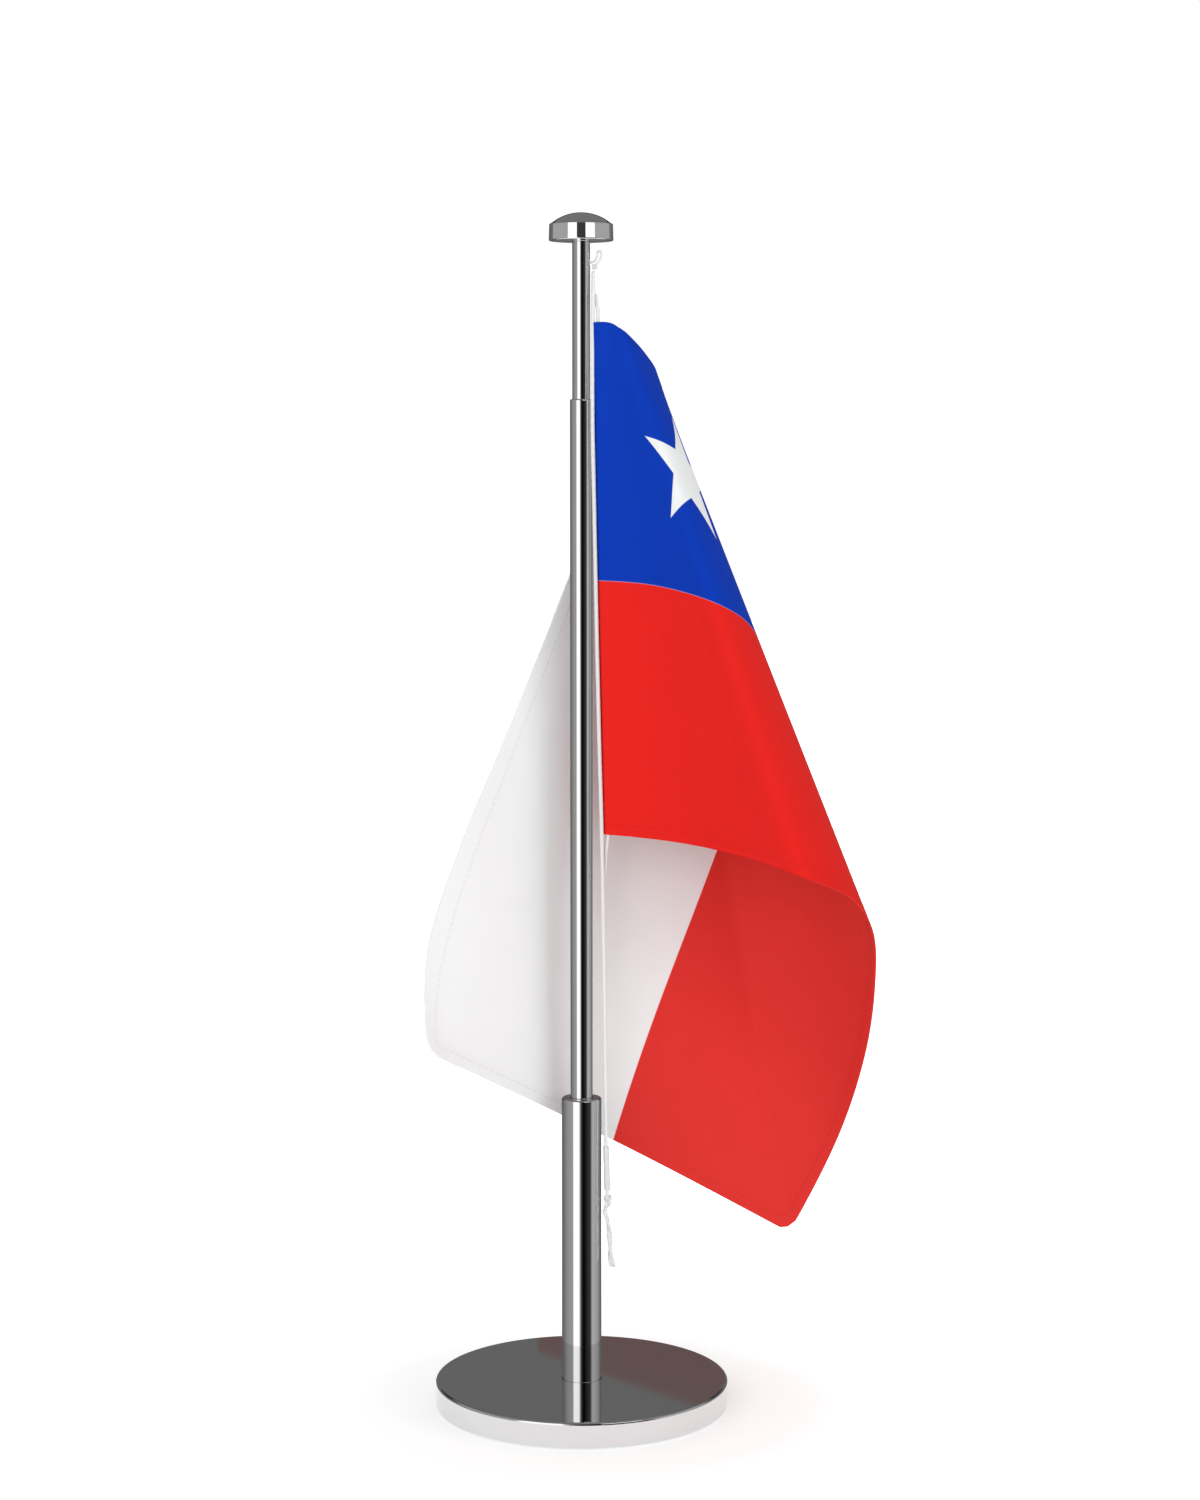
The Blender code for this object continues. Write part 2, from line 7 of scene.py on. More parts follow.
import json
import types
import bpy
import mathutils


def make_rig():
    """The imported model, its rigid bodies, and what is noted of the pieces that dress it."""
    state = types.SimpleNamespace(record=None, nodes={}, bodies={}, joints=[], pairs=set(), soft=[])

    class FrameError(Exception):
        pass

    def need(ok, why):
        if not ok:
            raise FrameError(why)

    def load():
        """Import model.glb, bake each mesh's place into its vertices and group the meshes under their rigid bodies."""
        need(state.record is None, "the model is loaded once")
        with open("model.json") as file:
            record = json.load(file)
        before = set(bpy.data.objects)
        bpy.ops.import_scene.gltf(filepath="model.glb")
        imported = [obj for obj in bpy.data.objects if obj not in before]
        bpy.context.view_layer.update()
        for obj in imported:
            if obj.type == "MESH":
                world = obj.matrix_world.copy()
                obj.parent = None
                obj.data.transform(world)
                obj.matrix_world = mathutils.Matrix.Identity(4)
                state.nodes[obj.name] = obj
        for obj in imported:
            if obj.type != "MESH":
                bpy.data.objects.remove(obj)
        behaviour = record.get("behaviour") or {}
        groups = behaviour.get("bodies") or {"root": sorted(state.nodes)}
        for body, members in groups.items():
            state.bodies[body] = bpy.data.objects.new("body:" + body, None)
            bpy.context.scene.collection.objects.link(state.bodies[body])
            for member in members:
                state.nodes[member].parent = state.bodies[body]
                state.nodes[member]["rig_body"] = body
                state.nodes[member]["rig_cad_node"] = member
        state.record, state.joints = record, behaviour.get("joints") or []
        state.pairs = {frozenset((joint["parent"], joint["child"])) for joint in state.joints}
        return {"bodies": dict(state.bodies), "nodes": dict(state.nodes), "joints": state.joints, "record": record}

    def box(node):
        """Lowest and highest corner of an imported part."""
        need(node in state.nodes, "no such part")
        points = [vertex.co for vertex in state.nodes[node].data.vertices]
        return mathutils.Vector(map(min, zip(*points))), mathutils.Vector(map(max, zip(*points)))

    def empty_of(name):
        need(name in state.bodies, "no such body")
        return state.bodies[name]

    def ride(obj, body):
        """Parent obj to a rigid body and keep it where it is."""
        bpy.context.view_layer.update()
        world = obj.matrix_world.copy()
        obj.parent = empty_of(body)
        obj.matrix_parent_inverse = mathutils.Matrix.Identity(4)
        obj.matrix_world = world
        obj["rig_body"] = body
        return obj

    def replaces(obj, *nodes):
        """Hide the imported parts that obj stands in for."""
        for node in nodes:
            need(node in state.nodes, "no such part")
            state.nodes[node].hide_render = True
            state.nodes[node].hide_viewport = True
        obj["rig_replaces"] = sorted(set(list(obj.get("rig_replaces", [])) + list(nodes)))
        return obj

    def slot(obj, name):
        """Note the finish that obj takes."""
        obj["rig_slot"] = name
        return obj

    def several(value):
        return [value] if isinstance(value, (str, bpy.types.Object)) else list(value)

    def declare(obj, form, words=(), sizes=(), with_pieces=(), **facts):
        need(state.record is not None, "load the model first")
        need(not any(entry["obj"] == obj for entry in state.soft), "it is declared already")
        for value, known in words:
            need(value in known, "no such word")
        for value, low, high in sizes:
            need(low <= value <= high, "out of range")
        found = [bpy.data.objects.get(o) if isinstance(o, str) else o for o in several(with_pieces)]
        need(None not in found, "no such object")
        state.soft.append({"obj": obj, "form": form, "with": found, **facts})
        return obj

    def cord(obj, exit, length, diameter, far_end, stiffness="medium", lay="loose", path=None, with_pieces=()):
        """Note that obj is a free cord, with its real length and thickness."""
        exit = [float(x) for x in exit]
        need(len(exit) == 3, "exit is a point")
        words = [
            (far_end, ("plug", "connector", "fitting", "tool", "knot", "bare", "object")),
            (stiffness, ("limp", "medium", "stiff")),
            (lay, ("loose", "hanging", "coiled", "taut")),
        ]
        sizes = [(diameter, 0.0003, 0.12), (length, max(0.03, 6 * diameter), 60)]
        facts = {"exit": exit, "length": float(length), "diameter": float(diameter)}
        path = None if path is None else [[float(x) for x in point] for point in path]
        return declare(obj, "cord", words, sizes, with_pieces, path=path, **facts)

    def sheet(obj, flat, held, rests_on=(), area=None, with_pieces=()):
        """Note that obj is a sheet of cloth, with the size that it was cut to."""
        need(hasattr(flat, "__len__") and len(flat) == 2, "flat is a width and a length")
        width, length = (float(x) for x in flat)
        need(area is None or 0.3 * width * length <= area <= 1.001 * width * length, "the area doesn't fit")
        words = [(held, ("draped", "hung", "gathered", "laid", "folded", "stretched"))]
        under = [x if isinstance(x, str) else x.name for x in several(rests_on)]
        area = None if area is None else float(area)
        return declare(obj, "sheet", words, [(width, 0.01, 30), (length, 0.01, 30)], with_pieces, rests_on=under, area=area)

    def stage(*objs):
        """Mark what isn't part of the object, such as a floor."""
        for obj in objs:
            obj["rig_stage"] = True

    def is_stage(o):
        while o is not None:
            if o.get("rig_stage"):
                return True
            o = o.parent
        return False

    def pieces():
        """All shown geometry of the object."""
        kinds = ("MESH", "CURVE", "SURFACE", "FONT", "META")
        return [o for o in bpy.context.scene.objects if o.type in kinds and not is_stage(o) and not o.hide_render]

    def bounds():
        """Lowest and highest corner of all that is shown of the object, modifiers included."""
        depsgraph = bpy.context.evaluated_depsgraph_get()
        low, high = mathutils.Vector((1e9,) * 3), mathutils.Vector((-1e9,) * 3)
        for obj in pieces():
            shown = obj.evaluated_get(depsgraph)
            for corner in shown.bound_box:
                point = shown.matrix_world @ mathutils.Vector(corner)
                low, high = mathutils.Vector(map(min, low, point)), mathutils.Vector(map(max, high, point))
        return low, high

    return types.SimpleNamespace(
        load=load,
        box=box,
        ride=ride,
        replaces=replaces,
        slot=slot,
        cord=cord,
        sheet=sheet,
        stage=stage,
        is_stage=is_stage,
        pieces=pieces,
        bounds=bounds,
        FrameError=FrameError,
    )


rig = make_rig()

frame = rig.load()

import json
import math

import bmesh
import bpy
import numpy as np
from mathutils import Vector

CAD_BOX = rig.bounds()
MM = 0.001

# Camera
CAMERA_PLACE = (0.0, -0.8887, 0.2834)
CAMERA_YAW = 0.0062
CAMERA_PITCH = 0.0953
CAMERA_LENS = 72.4

# Flag: 150 mm tall and 250 mm long, with a square canton of half its height
FLAG_HEIGHT = 150.0
FLAG_LENGTH = 250.0
FAN_ABOVE = 38.0  # the cloth's straight lines fan out from this far above the hoist's top
CANTON = 75.0
STAR_ALONG = 37.6
STAR_DOWN = 35.8
STAR_RADIUS = 20.7
STAR_TILT = 4.0  # degrees, counter-clockwise on the cloth
HEM_WIDTH = 4.0
CLOTH_THICKNESS = 0.45  # at the hems, where the cloth is doubled
SINGLE_SHARE = 0.75  # thickness away from the hems, as a share of that
TUNNEL_WIDTH = 7.0  # the rope's tunnel along the hoist
TUNNEL_BULGE = 0.75  # how far the tunnel stands off the cloth's middle at most
LAYER_GAP = 0.32  # between the tunnel's two layers where they are sewn together
ROPE_FROM_FOLD = 1.5
CORNER_RADIUS = 5.0
STITCH_INSET = 0.9  # from the hem's inner edge
STITCH_PITCH = 2.2
THREAD_PITCH = 0.42

# The cloth's edges as it hangs: distance along the edge from the hoist, then X, Y and height.
TOP_EDGE = (
    (0, 3.4, -2.2, 323.7),
    (5, 7.9, -4.3, 323.7),
    (10, 11.5, -5.5, 321.8),
    (16, 15, -2, 318.8),
    (24, 19, 3.5, 314.5),
    (36, 22.5, 12, 308.5),
    (56, 18, 16, 291),
    (82, 2.5, 15, 263),
    (115, -10.5, 11, 232),
    (150, -23.5, 7, 200),
    (185, -36, 0, 170),
    (218, -45.5, -8, 140),
    (250, -45, -19, 111.5),
)
BOTTOM_EDGE = (
    (0, 6.6, -2.2, 173.7),
    (25, 30, -11, 172),
    (50, 48, -29, 170),
    (75, 62, -47, 167),
    (100, 77, -34, 159),
    (125, 85, -16, 147),
    (155, 88, 6, 126),
    (185, 87, 26, 101),
    (218, 80, 43.5, 70.5),
    (250, 66, 51, 39.5),
)
FLY_MIDDLE = (9.5, 18, 77)

# Cords
CORD_RADIUS = 0.6
HALYARD_ROUTE = (
    (3.6, -1.2, 338.6),
    (3.5, -2.2, 331),
    (3.4, -2.5, 322),
    (3.3, -2.7, 312),
    (3.3, -2.8, 302),
    (3.4, -2.8, 288),
    (3.8, -2.7, 270),
    (4.2, -2.7, 250),
    (4.7, -2.8, 225),
    (5.3, -3.0, 200),
    (5.9, -3.2, 178),
    (6.3, -3.1, 160),
    (6.5, -3.0, 144),
    (6.8, -2.7, 126),
    (7.0, -2.4, 106),
    (7.2, -2.4, 88),
    (7.4, -2.4, 74),
    (7.7, -2.3, 65.8),
)
TAIL_ROUTE = (
    (7.2, -2.2, 60.3),
    (7.8, -2.1, 57),
    (8.1, -2.0, 52),
    (8.8, -2.0, 47),
    (9.8, -2.1, 42.8),
)
ROPE_ABOVE = (
    (4.1, -1.0, 332),
    (4.8, -1.6, 328),
)
ROPE_BELOW = (
    (7.3, -1.9, 168),
    (7.0, -1.3, 161),
)
LOOP_ROUTE = (
    (1.4, 0.0, 341.1),
    (2.9, 0.0, 341.2),
    (4.0, -0.1, 341.6),
    (4.6, -0.2, 342.8),
    (4.9, -0.4, 344.1),
    (5.5, -0.5, 344.5),
    (5.9, -0.6, 343.4),
    (5.6, -0.8, 342.0),
    (4.5, -1.1, 340.6),
)
THROUGH_KNOT = (7.5, -2.25, 63.0)  # where the cord passes inside the knot
KNOT_CENTRE = (7.8, -2.3, 63.1)
HITCH_TOP = (4.0, -1.1, 340.6)  # the loop's tail winds down round the cord's end from here
HITCH_RADIUS = 0.6
HITCH_DROP = 1.5
HITCH_TURNS = 1.8
CORD_STRANDS = 3
CORD_PITCH = 3.4  # length in which the strands make half a turn
CORD_SPACING = 0.45  # between the rings of a cord's surface
CORD_END_SIZES = (0.62, 0.88)  # a cut end's last two rings, as shares of the cord's radius

# Round pieces and the stage, in metres and degrees
FLAT_END = 0.08 * MM  # a ring this far from a rounded edge keeps the flat beside it looking flat
NEAR_FLOOR = 0.0675  # radius of the floor that the foot's side mirrors
FAR_FLOOR = 4.5
STAGE_MIDDLE = 0.18  # height of the stand's middle, which the studio is built round
SHARP_ANGLE = 50  # edges that turn more than this stay sharp

# What the chrome mirrors: azimuth in degrees from the front towards +X, and brightness there.
STUDIO_WALL = (
    (-180, 0.16),
    (-150, 0.15),
    (-130, 0.17),
    (-110, 0.25),
    (-90, 0.34),
    (-70, 0.38),
    (-52, 0.40),
    (-47, 1.35),
    (-16, 1.35),
    (-8, 0.30),
    (-1, 0.04),
    (8, 0.003),
    (18, 0.004),
    (28, 0.02),
    (50, 0.045),
    (55, 0.12),
    (61, 0.40),
    (68, 0.52),
    (80, 0.48),
    (95, 0.43),
    (110, 0.36),
    (125, 0.24),
    (140, 0.16),
    (160, 0.14),
    (180, 0.16),
)


# ---------------------------------------------------------------- curves and meshes


def through(stations, points):
    """A smooth curve through points at given stations, as a function of the station."""
    at = np.asarray(stations, float)
    points = np.asarray(points, float)
    steps = np.diff(at)
    slopes = np.diff(points, axis=0) / steps[:, None]
    tangents = np.empty_like(points)
    weight = (steps[1:] / (steps[1:] + steps[:-1]))[:, None]
    tangents[1:-1] = weight * slopes[:-1] + (1 - weight) * slopes[1:]
    tangents[0] = 1.5 * slopes[0] - 0.5 * tangents[1]
    tangents[-1] = 1.5 * slopes[-1] - 0.5 * tangents[-2]

    def curve(station):
        i = int(np.clip(np.searchsorted(at, station, side="right") - 1, 0, len(at) - 2))
        u = (station - at[i]) / steps[i]
        return (
            (2 * u**3 - 3 * u**2 + 1) * points[i]
            + (u**3 - 2 * u**2 + u) * steps[i] * tangents[i]
            + (3 * u**2 - 2 * u**3) * points[i + 1]
            + (u**3 - u**2) * steps[i] * tangents[i + 1]
        )

    return curve


def evenly_along(route, spacing):
    """Points about this far apart on the smooth curve through a route."""
    route = np.asarray(route, float)
    stations = np.concatenate([[0], np.cumsum(np.linalg.norm(np.diff(route, axis=0), axis=1))])
    curve = through(stations, route)
    count = max(3, round(stations[-1] / spacing) + 1)
    return [curve(s) for s in np.linspace(0, stations[-1], count)]


def make_object(name, mesh, finish, body, smooth_angle=None):
    """Adds a smooth mesh with its material to the scene, riding on a body of the model if one is given."""
    made = bpy.data.objects.new(name, mesh)
    bpy.context.scene.collection.objects.link(made)
    mesh.materials.append(finish)
    mesh.shade_smooth()
    if smooth_angle:
        mesh.set_sharp_from_angle(angle=math.radians(smooth_angle))
    if body:
        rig.ride(made, body)
    return made


def lathe(name, profile, finish, body, segments):
    """A round piece from (radius, height) points in metres, given from the bottom up on the outside.

    The outline closes on itself, or at the axis where its points have no radius.
    """
    bm = bmesh.new()
    uv = bm.loops.layers.uv.new("around")
    rings = []
    for radius, height in profile:
        if radius < 1e-7:
            rings.append([bm.verts.new((0, 0, height))])
            continue
        ring = []
        for k in range(segments):
            angle = 2 * math.pi * k / segments
            ring.append(bm.verts.new((radius * math.cos(angle), radius * math.sin(angle), height)))
        rings.append(ring)
    pairs = list(zip(rings, rings[1:]))
    if len(rings[0]) > 1 and len(rings[-1]) > 1:
        pairs.append((rings[-1], rings[0]))
    for low, high in pairs:
        if len(low) == 1 and len(high) == 1:
            continue
        for k in range(segments):
            after = (k + 1) % segments
            corners = []
            for ring, index in ((low, k), (low, after), (high, after), (high, k)):
                vertex = ring[index % len(ring)]
                if vertex not in corners:
                    corners.append(vertex)
            face = bm.faces.new(corners)
            for loop in face.loops:
                turn = k if loop.vert in (low[k % len(low)], high[k % len(high)]) else k + 1
                loop[uv].uv = (turn / segments, loop.vert.co.z * 10)
    mesh = bpy.data.meshes.new(name)
    bmesh.ops.recalc_face_normals(bm, faces=bm.faces)
    bm.to_mesh(mesh)
    bm.free()
    return make_object(name, mesh, finish, body, smooth_angle=SHARP_ANGLE)


def arc(centre_r, centre_z, radius, start, end, steps):
    """Points of a rounded edge in the lathe's plane, from the start angle to the end angle in degrees."""
    angles = np.radians(np.linspace(start, end, steps + 1))
    return [(centre_r + radius * math.cos(a), centre_z + radius * math.sin(a)) for a in angles]


def frames_along(points):
    """Points with two directions across the line at each, turning as little as they can."""
    points = [Vector(point) for point in points]
    tangents = []
    for i, point in enumerate(points):
        before = points[max(i - 1, 0)]
        after = points[min(i + 1, len(points) - 1)]
        tangents.append((after - before).normalized())
    side = tangents[0].orthogonal().normalized()
    framed = []
    for i, (point, tangent) in enumerate(zip(points, tangents)):
        if i:
            side = tangents[i - 1].rotation_difference(tangent) @ side
        side = (side - tangent * side.dot(tangent)).normalized()
        framed.append((point, side, tangent.cross(side)))
    return framed


def twisted_cord(name, points, radius, finish, body, closed=False):
    """A cord of twisted strands along points in millimetres. Its ends are pulled in and capped."""
    around = 5 * CORD_STRANDS
    bm = bmesh.new()
    uv = bm.loops.layers.uv.new("along")
    framed = frames_along(points)
    travelled = 0.0
    rings = []
    lengths = []
    for i, (point, side, across) in enumerate(framed):
        if i:
            travelled += (point - framed[i - 1][0]).length
        twist = math.pi * travelled / CORD_PITCH
        from_end = min(i, len(framed) - 1 - i)
        size = radius
        if not closed and from_end < len(CORD_END_SIZES):
            size = radius * CORD_END_SIZES[from_end]
        ring = []
        for k in range(around):
            angle = 2 * math.pi * k / around
            lobe = abs(math.cos(CORD_STRANDS * (angle - twist) / 2))
            reach = size * (0.84 + 0.16 * lobe**0.6)
            offset = side * math.cos(angle) + across * math.sin(angle)
            ring.append(bm.verts.new((point + offset * reach) * MM))
        rings.append(ring)
        lengths.append(travelled)
    for i, (low, high) in enumerate(zip(rings, rings[1:])):
        for k in range(around):
            after = (k + 1) % around
            face = bm.faces.new((low[k], low[after], high[after], high[k]))
            start, end = lengths[i], lengths[i + 1]
            corners = ((k, start), (k + 1, start), (k + 1, end), (k, end))
            for loop, (turn, length) in zip(face.loops, corners):
                loop[uv].uv = (turn / around, length / 10)
    if closed:
        for k in range(around):
            after = (k + 1) % around
            bm.faces.new((rings[-1][k], rings[-1][after], rings[0][after], rings[0][k]))
    else:
        bm.faces.new(rings[0])
        bm.faces.new(rings[-1])
    bmesh.ops.recalc_face_normals(bm, faces=bm.faces)
    mesh = bpy.data.meshes.new(name)
    bm.to_mesh(mesh)
    bm.free()
    return make_object(name, mesh, finish, body)


# ---------------------------------------------------------------- materials


class Nodes:
    """Builds a material's node tree with short calls."""

    def __init__(self, name):
        self.material = bpy.data.materials.new(name)
        self.material.use_nodes = True
        self.tree = self.material.node_tree
        self.shader = self.tree.nodes["Principled BSDF"]

    def node(self, kind, settings=None, **inputs):
        made = self.tree.nodes.new(kind)
        for key, value in (settings or {}).items():
            setattr(made, key, value)
        for key, value in inputs.items():
            self.feed(made.inputs[key.replace("_", " ")], value)
        return made

    def feed(self, socket, value):
        if isinstance(value, bpy.types.NodeSocket):
            self.tree.links.new(value, socket)
        else:
            socket.default_value = value

    def math(self, operation, first, second=0.0, third=0.0):
        made = self.tree.nodes.new("ShaderNodeMath")
        made.operation = operation
        for socket, value in zip(made.inputs, (first, second, third)):
            self.feed(socket, value)
        return made.outputs[0]

    def length(self, first, second):
        squares = [self.math("MULTIPLY", value, value) for value in (first, second)]
        return self.math("SQRT", self.math("ADD", *squares))

    def mix(self, factor, first, second):
        made = self.tree.nodes.new("ShaderNodeMix")
        made.data_type = "RGBA"
        self.feed(made.inputs["Factor"], factor)
        for socket, value in zip((made.inputs[6], made.inputs[7]), (first, second)):
            self.feed(socket, (*value, 1.0) if isinstance(value, tuple) and len(value) == 3 else value)
        return made.outputs[2]

    def ramp(self, value, low, high, to_low=0.0, to_high=1.0):
        made = self.tree.nodes.new("ShaderNodeMapRange")
        made.clamp = True
        for socket, given in zip(made.inputs, (value, low, high, to_low, to_high)):
            self.feed(socket, given)
        return made.outputs[0]

    def place(self, scale=(1, 1, 1)):
        coordinates = self.node("ShaderNodeTexCoord").outputs["Object"]
        mapping = self.node("ShaderNodeMapping")
        self.feed(mapping.inputs["Vector"], coordinates)
        mapping.inputs["Scale"].default_value = scale
        return mapping.outputs[0]

    def noise(self, scale, detail, vector=None):
        made = self.node("ShaderNodeTexNoise", Scale=scale, Detail=detail)
        self.feed(made.inputs["Vector"], self.place() if vector is None else vector)
        return made.outputs[0]

    def bump(self, height, strength, distance, normal=None):
        made = self.node("ShaderNodeBump", Strength=strength, Distance=distance, Height=height)
        if normal:
            self.feed(made.inputs["Normal"], normal)
        return made.outputs[0]

    def set(self, **inputs):
        for key, value in inputs.items():
            self.feed(self.shader.inputs[key.replace("_", " ")], value)


def chrome(name, tone, polish):
    """Polished chrome plate: nearly flat, with faint handling haze and hairline marks."""
    made = Nodes(name)
    haze = made.noise(60, 4)
    hairline = made.noise(40, 2, made.place((1, 1, 0.04)))
    rough = made.math("MULTIPLY_ADD", haze, polish * 0.8, polish * 0.6)
    made.set(
        Base_Color=made.mix(haze, tuple(v * 0.97 for v in tone), tone),
        Metallic=1.0,
        Roughness=made.math("MULTIPLY_ADD", hairline, polish * 0.3, rough),
        Normal=made.bump(made.noise(900, 2), 0.02, 0.00002),
    )
    return made.material


def plated_steel():
    """Dull zinc plate, uneven in tone."""
    made = Nodes("zinc_plate")
    grain = made.noise(700, 3)
    patch = made.noise(120, 4)
    made.set(
        Base_Color=made.mix(patch, (0.42, 0.43, 0.45), (0.56, 0.57, 0.58)),
        Metallic=1.0,
        Roughness=made.ramp(grain, 0.3, 0.7, 0.28, 0.46),
        Normal=made.bump(grain, 0.15, 0.00005),
    )
    return made.material


def turned_brass():
    """Bare brass with the fine rings that a lathe leaves."""
    made = Nodes("turned_brass")
    rings = made.node("ShaderNodeTexWave", {"bands_direction": "Z"}, Scale=900.0, Distortion=0.6)
    made.feed(rings.inputs["Vector"], made.place())
    tarnish = made.noise(180, 4)
    made.set(
        Base_Color=made.mix(tarnish, (0.58, 0.40, 0.17), (0.76, 0.58, 0.28)),
        Metallic=1.0,
        Roughness=made.ramp(tarnish, 0.3, 0.7, 0.24, 0.4),
        Normal=made.bump(rings.outputs["Fac"], 0.25, 0.00003),
    )
    return made.material


def moulded(name, colour, roughness, grain, depth):
    """Moulded plastic, rubber or foam: a fine surface grain and slightly uneven sheen."""
    made = Nodes(name)
    texture = made.noise(grain, 3)
    lighter = tuple(v * 1.35 + 0.004 for v in colour)
    made.set(
        Base_Color=made.mix(made.noise(grain / 8, 3), colour, lighter),
        Roughness=made.ramp(texture, 0.3, 0.7, roughness - 0.08, roughness + 0.08),
        Normal=made.bump(texture, 0.5, depth),
    )
    return made.material


def cord_fibre():
    """White polyester yarn: fine filaments that run with the twist, and a soft sheen."""
    made = Nodes("cord_yarn")
    uv = made.node("ShaderNodeUVMap").outputs[0]
    mapping = made.node("ShaderNodeMapping")
    made.feed(mapping.inputs["Vector"], uv)
    mapping.inputs["Scale"].default_value = (30, 12, 1)
    filaments = made.noise(3.0, 2, mapping.outputs[0])
    made.set(
        Base_Color=made.mix(filaments, (0.70, 0.70, 0.70), (0.88, 0.88, 0.87)),
        Roughness=0.75,
        Specular_IOR_Level=0.25,
        Sheen_Weight=0.3,
        Sheen_Roughness=0.5,
        Normal=made.bump(filaments, 0.5, 0.00008),
    )
    return made.material


def milky_tube():
    """Milky soft plastic with a smooth, slightly glossy skin."""
    made = Nodes("milky_tube")
    cloud = made.noise(500, 3)
    made.set(
        Base_Color=made.mix(cloud, (0.66, 0.67, 0.68), (0.78, 0.79, 0.80)),
        Roughness=made.ramp(cloud, 0.3, 0.7, 0.28, 0.42),
        Specular_IOR_Level=0.5,
        Coat_Weight=0.2,
        Coat_Roughness=0.2,
        Normal=made.bump(cloud, 0.2, 0.00004),
    )
    return made.material


def star_print(made, along, down, edge):
    """1 inside the five-pointed star and 0 outside it, from distances along and down the cloth."""
    right = made.math("SUBTRACT", along, STAR_ALONG)
    up = made.math("SUBTRACT", STAR_DOWN, down)
    angle = made.math("ARCTAN2", right, up)
    fifth = 2 * math.pi / 5
    turned = made.math("ADD", angle, fifth / 2 + math.radians(STAR_TILT))
    from_tip = made.math("SUBTRACT", made.math("FLOORED_MODULO", turned, fifth), fifth / 2)
    reach = made.length(right, up)
    toward_tip = made.math("MULTIPLY", reach, made.math("COSINE", from_tip))
    off_tip = made.math("ABSOLUTE", made.math("MULTIPLY", reach, made.math("SINE", from_tip)))

    # each side of an arm is a straight run from its tip to the notch beside it
    notch = STAR_RADIUS * math.sin(math.radians(18)) / math.sin(math.radians(54))
    run = Vector((notch * math.cos(fifth / 2) - STAR_RADIUS, notch * math.sin(fifth / 2))).normalized()
    outside = made.math(
        "ADD",
        made.math("MULTIPLY", made.math("SUBTRACT", toward_tip, STAR_RADIUS), run.y),
        made.math("MULTIPLY", off_tip, -run.x),
    )
    return made.ramp(outside, edge, -edge)


def hem_stitches(made, along, down):
    """1 on the running stitch near the hems' inner edge and 0 elsewhere."""
    to_side = made.math("MINIMUM", down, made.math("SUBTRACT", FLAG_HEIGHT, down))
    to_edge = made.math("MINIMUM", to_side, made.math("SUBTRACT", FLAG_LENGTH, along))
    off_line = made.math("ABSOLUTE", made.math("SUBTRACT", to_edge, HEM_WIDTH - STITCH_INSET))
    on_line = made.ramp(off_line, 0.32, 0.14)
    wave = made.math("MULTIPLY", made.math("ADD", along, down), 2 * math.pi / STITCH_PITCH)
    return made.math("MULTIPLY", on_line, made.ramp(made.math("SINE", wave), -0.75, -0.35))


def printed_cloth(name, red_ink, blue_ink):
    """Woven polyester, printed white over red with a blue canton and one star, and stitched hems."""
    made = Nodes(name)
    uv = made.node("ShaderNodeSeparateXYZ", Vector=made.node("ShaderNodeUVMap").outputs[0])
    along = made.math("ABSOLUTE", made.math("MULTIPLY", uv.outputs["X"], FLAG_LENGTH))
    down = made.math("MULTIPLY", uv.outputs["Y"], FLAG_HEIGHT)

    # print
    edge = 0.12
    lower_half = made.ramp(down, CANTON - edge, CANTON + edge)
    beside = made.ramp(along, CANTON - edge, CANTON + edge)
    upper_half = made.math("SUBTRACT", 1.0, lower_half)
    canton = made.math("MULTIPLY", upper_half, made.math("SUBTRACT", 1.0, beside))
    mottle = made.noise(90, 4)
    white = made.mix(mottle, (0.85, 0.86, 0.862), (0.88, 0.89, 0.892))
    red = made.mix(mottle, tuple(v * 0.97 for v in red_ink), tuple(v * 1.03 for v in red_ink))
    blue = made.mix(mottle, tuple(v * 0.96 for v in blue_ink), tuple(v * 1.04 for v in blue_ink))
    ground = made.mix(lower_half, white, red)
    printed = made.mix(canton, ground, made.mix(star_print(made, along, down, edge), blue, white))
    stitch = hem_stitches(made, along, down)
    # the stitch line is drawn 5% darker: painted shade in the stitch's sunk groove
    shaded = made.mix(made.math("MULTIPLY", stitch, 0.05), printed, (0.02, 0.02, 0.02))

    # weave
    warp = made.math("SINE", made.math("MULTIPLY", along, 2 * math.pi / THREAD_PITCH))
    weft = made.math("SINE", made.math("MULTIPLY", down, 2 * math.pi / THREAD_PITCH))
    weave = made.math("MULTIPLY", warp, weft)
    slub = made.noise(650, 2)
    relief = made.math("ADD", weave, made.math("MULTIPLY", slub, 1.2))
    made.set(
        Base_Color=made.mix(made.ramp(weave, -1, 1, 0.0, 0.06), shaded, (0.0, 0.0, 0.0)),
        Roughness=made.ramp(slub, 0.3, 0.7, 0.66, 0.82),
        Specular_IOR_Level=0.04,
        Normal=made.bump(relief, 0.25, 0.00003, made.bump(stitch, 0.5, 0.00015)),
    )
    return made.material


def glow(name, strength, colour=(1, 1, 1)):
    """A surface that only gives off light, for the stage."""
    material = bpy.data.materials.new(name)
    material.use_nodes = True
    nodes = material.node_tree.nodes
    nodes.clear()
    emission = nodes.new("ShaderNodeEmission")
    emission.inputs["Color"].default_value = (*colour, 1.0)
    emission.inputs["Strength"].default_value = strength
    output = nodes.new("ShaderNodeOutputMaterial")
    material.node_tree.links.new(emission.outputs[0], output.inputs[0])
    return material


# ---------------------------------------------------------------- camera, stage and lights


